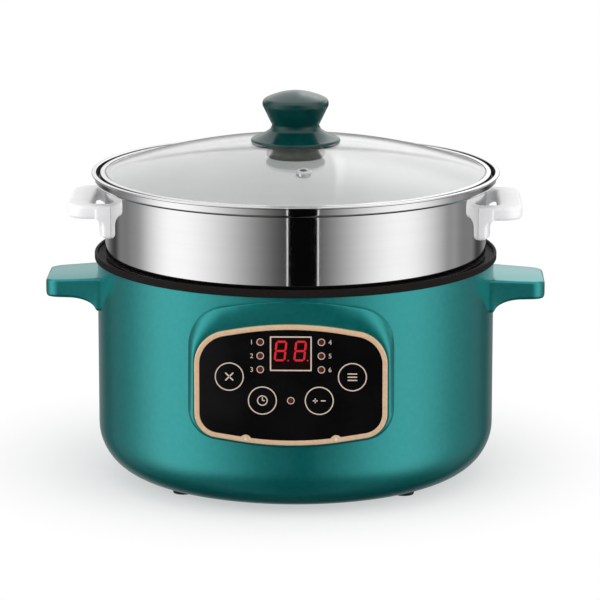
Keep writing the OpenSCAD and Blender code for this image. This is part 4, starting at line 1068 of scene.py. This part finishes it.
# %% Section of the steamer
SHEET, HEM_T, LIP_TOP_W, GUTTER_W = 0.8, 1.6, 3.2, 6.6
SHOULDER_R, COLLAR_R, GUTTER_BEND = 2, 124.5, 2.5
shell_low, shell_high = box_mm("steamer_shell")
rim_low, rim_high = box_mm("steamer_rim")
SHELL_R, SHELL_LOW = shell_high[0], shell_low[2]
SEAT_Z = LEDGE_TOP + 0.3
GUTTER_Z, LIP_R, LIP_TOP = rim_low[2], rim_high[0], rim_high[2]
GUTTER_R = SHELL_R + GUTTER_W
LIP_INNER_R = LIP_R - LIP_TOP_W
SIDE_R = LIP_INNER_R + 1.5 * SHEET
steamer_section = spaced(rounded([
    (COLLAR_R - SHEET, SHELL_LOW, 0.2), (COLLAR_R, SHELL_LOW, 0.2), (COLLAR_R, SEAT_Z, 0.5),
    (SHELL_R, SEAT_Z, SHOULDER_R), (SHELL_R, GUTTER_Z, 0.7), (GUTTER_R, GUTTER_Z, GUTTER_BEND),
    (SIDE_R, LIP_TOP - HEM_T, 0.2), (LIP_R, LIP_TOP - HEM_T, HEM_T / 2 - 0.02),
    (LIP_R, LIP_TOP, HEM_T / 2 - 0.02), (LIP_INNER_R, LIP_TOP, 0.7),
    (GUTTER_R - SHEET, GUTTER_Z + SHEET, GUTTER_BEND - SHEET), (SHELL_R - SHEET, GUTTER_Z + SHEET, 0.4),
    (SHELL_R - SHEET, SEAT_Z + SHEET, SHOULDER_R - SHEET), (COLLAR_R - SHEET, SEAT_Z + SHEET, 0.7),
], steps=10), 4)
print("steamer section has", len(steamer_section), "points")

# %% Finish and turn the drum
# The gutter's colour is painted shade: it darkens the steel where the lid's band shades it.
DULLING, INSIDE_METALLIC, GUTTER_SHADE_COLOUR, BLUR = 0.26, 0.35, (0.03, 0.03, 0.032), 0.2


def in_band(tree, value, low, high, blur):
    """One where a length lies between two limits in millimetres, with soft ends."""
    above = mapped(tree, value, (low - blur) * MM, (low + blur) * MM, 0, 1)
    below = mapped(tree, value, (high - blur) * MM, (high + blur) * MM, 1, 0)
    return math_node(tree, "MULTIPLY", above, below)


def drum_finish():
    """Polished steel that is matt inside, rougher down in the gutter where no polishing wheel goes, and
    darker there by painted shade that stands for the shade under the lid's band. The distance from the axis
    and the height tell the places apart."""
    material = polished_steel.copy()
    material.name = "drum_steel"
    tree = material.node_tree
    shader = tree.nodes["Principled BSDF"]
    place = add_node(tree, "ShaderNodeTexCoord").outputs["Object"]
    plan = add_node(tree, "ShaderNodeVectorMath", operation="MULTIPLY")
    plan.inputs[1].default_value = (1, 1, 0)
    tree.links.new(place, plan.inputs[0])
    reach = add_node(tree, "ShaderNodeVectorMath", operation="LENGTH")
    tree.links.new(plan.outputs[0], reach.inputs[0])
    axes = add_node(tree, "ShaderNodeSeparateXYZ")
    tree.links.new(place, axes.inputs[0])
    inside = in_band(tree, reach.outputs["Value"], 0, SHELL_R - SHEET / 2, BLUR)
    upper = in_band(tree, axes.outputs["Z"], GUTTER_Z + SHEET / 2, LIP_TOP - 0.7, BLUR)
    outer = in_band(tree, reach.outputs["Value"], SHELL_R, LIP_INNER_R + BLUR, BLUR)
    # The gutter's mask: its colour is darkened there as painted shade, and its roughness is raised.
    gutter_shade_and_dulling = math_node(tree, "MULTIPLY", outer, upper)
    colour, polish = (shader.inputs[name].links[0].from_socket for name in ("Base Color", "Roughness"))
    tree.links.new(mixed(tree, gutter_shade_and_dulling, colour, GUTTER_SHADE_COLOUR), shader.inputs["Base Color"])
    dulled = math_node(tree, "MULTIPLY", math_node(tree, "MAXIMUM", inside, gutter_shade_and_dulling), DULLING)
    tree.links.new(math_node(tree, "ADD", polish, dulled), shader.inputs["Roughness"])
    tree.links.new(mapped(tree, inside, 0, 1, 1, INSIDE_METALLIC, smooth=False), shader.inputs["Metallic"])
    return material


make_piece(
    "steamer_drum", *turned(steamer_section, True),
    drum_finish(), "steamer", "polished_steel", ["steamer_shell", "steamer_rim"],
)

# %% [markdown]
# ## Steamer handles
# Each white handle is a broad moulded bar with a finger slot behind it and two feet down the drum. A slot
# cut by a Boolean would need its edges rounded afterwards. So the bar fills the room between two U-shaped
# paths in plan, and its section has soft edges from the start. A foot is a stack of U-shaped outlines
# against the drum's wall, smaller towards its lower end and flared where it meets the bar.

# %% Sweep the bar of a steamer handle
grip_low, grip_high = box_mm("steamer_handle_right")
GRIP_TIP_X, GRIP_HALF_W = grip_high[0], grip_high[1]
GRIP_TOP, GRIP_FOOT = grip_high[2], grip_low[2]
GRIP_T, GRIP_BAR, GRIP_TIP_R, GRIP_SLOT_R, GRIP_SOFT, GRIP_TAPER = 9.5, 17, 14, 4, 2.6, 2
LEG_W, WALL_R, BEND_STEPS = 12, SHELL_R + 0.1, 12


def u_path(half_w, tip_x, taper, bend):
    """A U in plan from the drum's wall round the tip and back. Every stretch has a set number of points, so
    that two such paths pair up point by point."""
    root_x = math.sqrt(WALL_R**2 - half_w**2)
    tip_w = half_w - taper
    corners = rounded([
        (root_x, -half_w, 0), (tip_x, -tip_w, bend), (tip_x, tip_w, bend), (root_x, half_w, 0),
    ], BEND_STEPS)
    bend_end, last = BEND_STEPS + 1, 2 * BEND_STEPS + 3
    stop = np.concatenate([
        np.linspace(0, 1, 6, endpoint=False), np.arange(1, bend_end),
        np.linspace(bend_end, bend_end + 1, 16, endpoint=False),
        np.arange(bend_end + 1, last - 1), np.linspace(last - 1, last, 7),
    ])
    count = np.arange(len(corners))
    return np.stack([np.interp(stop, count, corners[:, 0]), np.interp(stop, count, corners[:, 1])], -1)


def grip_bar():
    """An oblong section with soft edges from the inner path to the outer one, at each of their points."""
    outer = u_path(GRIP_HALF_W, GRIP_TIP_X, GRIP_TAPER, GRIP_TIP_R)
    inner = u_path(GRIP_HALF_W - LEG_W, GRIP_TIP_X - GRIP_BAR, 0, GRIP_SLOT_R)
    middle, across = (outer + inner) / 2, outer - inner
    width = np.linalg.norm(across, axis=1)[:, None]
    quarter = np.linspace(0, math.pi / 2, 7)
    angle = (np.arange(4)[:, None] * math.pi / 2 + quarter).ravel()
    corner = np.repeat([(1, 1), (-1, 1), (-1, -1), (1, -1)], len(quarter), axis=0)
    offset = corner[:, 0] * (width / 2 - GRIP_SOFT) + GRIP_SOFT * np.cos(angle)
    height = GRIP_TOP + corner[:, 1] * (GRIP_T / 2 - GRIP_SOFT) + GRIP_SOFT * np.sin(angle) - GRIP_T / 2
    plan = middle[:, None, :] + (across / width)[:, None, :] * offset[:, :, None]
    points = np.concatenate([plan, np.broadcast_to(height[:, None], (*plan.shape[:2], 1))], -1)
    return tube(points)


bar_grid = grip_bar()
print("handle bar has", len(bar_grid[1]), "faces")

# %% Add the feet of the steamer handles
LEG_T, FOOT_BELOW_TOP, FOOT_GAP = 6.2, 2, 0.05
FOOT_END_R, FOOT_SOFT, FOOT_FLARE, FOOT_LEAN = 3, 2, 5, 0.8


def grip_foot(side_y):
    """Outlines at rising heights: three sides of an oblong with rounded outer corners, its open side on the
    wall. Near the lower end each side draws in along a quarter circle, and below the bar the depth swells
    out along another."""
    foot_h = GRIP_TOP - FOOT_BELOW_TOP - GRIP_FOOT
    height = np.concatenate([np.linspace(0, FOOT_END_R, 9), np.linspace(FOOT_END_R, foot_h, 25)[1:]])
    drawn = FOOT_END_R - np.sqrt(FOOT_END_R**2 - np.clip(FOOT_END_R - height, 0, None)**2)
    to_bar = np.clip((height - (GRIP_TOP - GRIP_T - FOOT_FLARE - GRIP_FOOT)) / FOOT_FLARE, 0, 1)
    flare = FOOT_FLARE * (1 - np.sqrt(1 - to_bar**2))
    lean = FOOT_LEAN * (1 - height / height[-1])
    outlines = np.stack([
        rounded([(-w, 0, 0), (-w, depth, FOOT_SOFT), (w, depth, FOOT_SOFT), (w, 0, 0)], 6)
        for w, depth in zip(LEG_W / 2 - FOOT_GAP - drawn, LEG_T - drawn - lean + flare)
    ])
    y = outlines[..., 0] + side_y * (GRIP_HALF_W - LEG_W / 2)
    x = np.sqrt(WALL_R**2 - y**2) + outlines[..., 1]
    z = np.broadcast_to(GRIP_FOOT + height[:, None], y.shape)
    points = np.stack([x, y, z], -1)
    return tube(points)


grip_points, grip_faces = joined([bar_grid, grip_foot(-1), grip_foot(1)])
for side, name in ((1, "right"), (-1, "left")):
    make_piece(
        f"grip_{name}", grip_points * (side, 1, 1), grip_faces,
        white_plastic, "steamer", "white_plastic", [f"steamer_handle_{name}"], crease=60,
    )

# %% [markdown]
# ## Lid
# The lid is a shallow glass dome in a rolled steel band. A piece of a sphere would have no thickness, and
# glass needs two faces to bend light as it should. So the dome's section is two arcs of spheres with a
# common centre, closed by a rounded rim. The band is a folded section of its own, and the steel grommet of
# the steam vent stays a CAD solid.

# %% Turn the glass
GLASS_T, EDGE_W, GLASS_GAP, DOME_STEPS = 4, 1.5, 0.3, 48
glass_high = box_mm("lid_glass")[1]
band_low, band_high = box_mm("lid_band")
GLASS_R, CROWN_Z = glass_high[0], glass_high[2]
BAND_TOP, BAND_T = band_high[2], 0.6
GLASS_EDGE_Z = BAND_TOP - BAND_T - GLASS_GAP
dome_rise = CROWN_Z - GLASS_EDGE_Z
DOME_R = (GLASS_R**2 + dome_rise**2) / (2 * dome_rise)
DOME_Z = CROWN_Z - DOME_R


def dome_arc(radius, out_to):
    """Points of a sphere's arc from the pole to a distance out, as (r, z)."""
    r = np.linspace(0, out_to, DOME_STEPS + 1)
    return np.stack([r, DOME_Z + np.sqrt(radius**2 - r**2)], -1)


inner, outer = dome_arc(DOME_R - GLASS_T, GLASS_R - EDGE_W), dome_arc(DOME_R, GLASS_R - EDGE_W)
edge_z = (inner[-1, 1] + outer[-1, 1]) / 2
edge_half = (outer[-1, 1] - inner[-1, 1]) / 2
edge_angle = np.linspace(-math.pi / 2, math.pi / 2, 9)[1:-1]
edge = np.stack([
    GLASS_R - EDGE_W + EDGE_W * np.cos(edge_angle), edge_z + edge_half * np.sin(edge_angle),
], -1)
glass_section = np.concatenate([inner, edge, outer[::-1]])
make_piece(
    "lid_dome", *turned(glass_section, False),
    clear_glass, "lid", "clear_glass", ["lid_glass"],
)

# %% Turn the band
BAND_R, BAND_LOW = band_high[0], band_low[2]
FOLD_W, BAND_LOW_R, BAND_TURN, BAND_FLARE = 3.2, 135.4, 2, 3.5
band_section = spaced(rounded([
    (BAND_LOW_R - BAND_TURN, BAND_LOW, 0.2), (BAND_LOW_R, BAND_LOW, 0.6),
    (BAND_R, BAND_LOW + BAND_FLARE, 1.5), (BAND_R, BAND_TOP, 0.55),
    (BAND_R - FOLD_W, BAND_TOP, 0.25), (BAND_R - FOLD_W, BAND_TOP - BAND_T, 0.25),
    (BAND_R - BAND_T, BAND_TOP - BAND_T, 0.3), (BAND_R - BAND_T, BAND_LOW + BAND_FLARE, 1.2),
    (BAND_LOW_R - 0.2, BAND_LOW + BAND_T, 0.3), (BAND_LOW_R - BAND_TURN, BAND_LOW + BAND_T, 0.2),
], steps=6), 3)
make_piece(
    "lid_ring", *turned(band_section, True),
    polished_steel, "lid", "polished_steel", ["lid_band"],
)

# %% [markdown]
# ## Knob
# The knob is moulded in dark green plastic: a thin skirt that rises to a neck, a sharp waist, a straight
# cone and a head with a shallow crown. A subdivided cylinder would soften the waist. A turned section keeps
# it sharp: curves give skirt, neck and head, and straight stretches the waist and the cone.

# %% Section of the knob
knob_high = box_mm("knob")[1]
SKIRT_R, KNOB_H = knob_high[0], 35.5
KNOB_Z = knob_high[2] - KNOB_H
WAIST_R, WAIST_H, HEAD_R, HEAD_H = 16.7, 11.3, 23.3, 26
NECK_R, NECK_H, CROWN_R, CROWN_H = 17.9, 8.3, 21.2, 30.3
knob_section = np.concatenate([
    [(0, 0.6), (SKIRT_R - 2, 0.4), (SKIRT_R - 0.5, 0)],
    bezier((SKIRT_R, 0.4), (SKIRT_R, 1.2), (SKIRT_R - 0.6, 1.6), (SKIRT_R - 1.4, 1.9), 6),
    bezier((SKIRT_R - 2.4, 2.2), (26.6, 3.2), (21.6, 5.4), (NECK_R, NECK_H), 14),
    bezier(
        (NECK_R - 0.4, NECK_H + 1), (WAIST_R + 0.3, WAIST_H - 1.4), (WAIST_R, WAIST_H - 0.6),
        (WAIST_R, WAIST_H), 6,
    ),
    bezier(
        (WAIST_R, WAIST_H + 0.6), (WAIST_R + 0.1, WAIST_H + 1), (WAIST_R + 0.4, WAIST_H + 1.4),
        (17.3, 13), 4,
    ),
    bezier((22.4, 23.6), (22.9, 24.6), (HEAD_R, 25.3), (HEAD_R, HEAD_H), 8),
    bezier((HEAD_R, HEAD_H + 0.5), (HEAD_R, 28.3), (22.4, CROWN_H - 0.6), (CROWN_R, CROWN_H), 12),
    bezier((CROWN_R - 0.4, CROWN_H + 0.2), (13.9, 33.8), (6.9, KNOB_H), (0, KNOB_H), 16),
]) + (0, KNOB_Z)
knob_section = spaced(knob_section, 1.5, closed=False)
print("knob section has", len(knob_section), "points")

# %% Finish and turn the knob
KNOB_STEPS = 160
HEAD_GLOSS, CROWN_GLOSS, WAIST_GLOSS = 0.45, 0.85, 0.06


def knob_finish():
    """The gloss finish with a shiny crown and a dull waist: the height sets how strongly it mirrors."""
    material = dark_teal_gloss.copy()
    material.name = "knob_gloss"
    tree = material.node_tree
    axes = add_node(tree, "ShaderNodeSeparateXYZ")
    tree.links.new(add_node(tree, "ShaderNodeTexCoord").outputs["Object"], axes.inputs[0])
    height = math_node(tree, "SUBTRACT", axes.outputs["Z"], KNOB_Z * MM)
    crown = mapped(tree, height, (HEAD_H + 1) * MM, CROWN_H * MM, HEAD_GLOSS, CROWN_GLOSS)
    waist = in_band(tree, height, WAIST_H + 2, HEAD_H - 0.8, 1.4)
    shader = tree.nodes["Principled BSDF"]
    tree.links.new(mixed(tree, waist, crown, WAIST_GLOSS), shader.inputs["Specular IOR Level"])
    return material


make_piece(
    "lid_knob", *turned(knob_section, False, KNOB_STEPS),
    knob_finish(), "lid", "dark_teal_plastic", ["knob"],
)

# %% [markdown]
# ## Floor
# A plain white disc carries the soft shadow. A wide plane would show its far edge as a line. So to the
# camera the disc turns into pure white away from the cooker, by the distance from the shadow's middle, and
# meets the white world unseen. Close to the cooker half of that white keeps the shadow light. Mirror rays
# pass the disc by and see the studio ring.

# %% Lay the floor
FLOOR_R = 3.0
SHADOW_MIDDLE, SHADOW_RANGE, LEAST_WHITE = (-0.012, 0.03, 0), (0.105, 0.265), 0.48


def make_floor():
    """A disc with a white finish that the camera sees mixed with plain white, wholly so further out."""
    mesh = bpy.data.meshes.new("floor")
    angle = np.linspace(0, 2 * math.pi, RING_STEPS, endpoint=False)
    rim = np.stack([FLOOR_R * np.cos(angle), FLOOR_R * np.sin(angle), np.zeros_like(angle)], -1)
    mesh.from_pydata(rim.tolist(), [], [list(range(len(rim)))])
    material = finish("floor_white", (0.80, 0.80, 0.805), (0.82, 0.82, 0.825), (0.8, 0.9), 6, 60, 0.0)
    tree = material.node_tree
    place = add_node(tree, "ShaderNodeTexCoord").outputs["Object"]
    distance = add_node(tree, "ShaderNodeVectorMath", operation="DISTANCE")
    distance.inputs[1].default_value = SHADOW_MIDDLE
    tree.links.new(place, distance.inputs[0])
    fade = mapped(tree, distance.outputs["Value"], *SHADOW_RANGE, LEAST_WHITE, 1)
    fade = math_node(tree, "MULTIPLY", fade, add_node(tree, "ShaderNodeLightPath").outputs["Is Camera Ray"])
    show_blended(tree, fade, add_node(tree, "ShaderNodeEmission").outputs[0])
    mesh.materials.append(material)
    floor = bpy.data.objects.new("floor", mesh)
    bpy.context.scene.collection.objects.link(floor)
    floor.visible_glossy = False


make_floor()
print("floor disc", 2 * FLOOR_R, "m across")
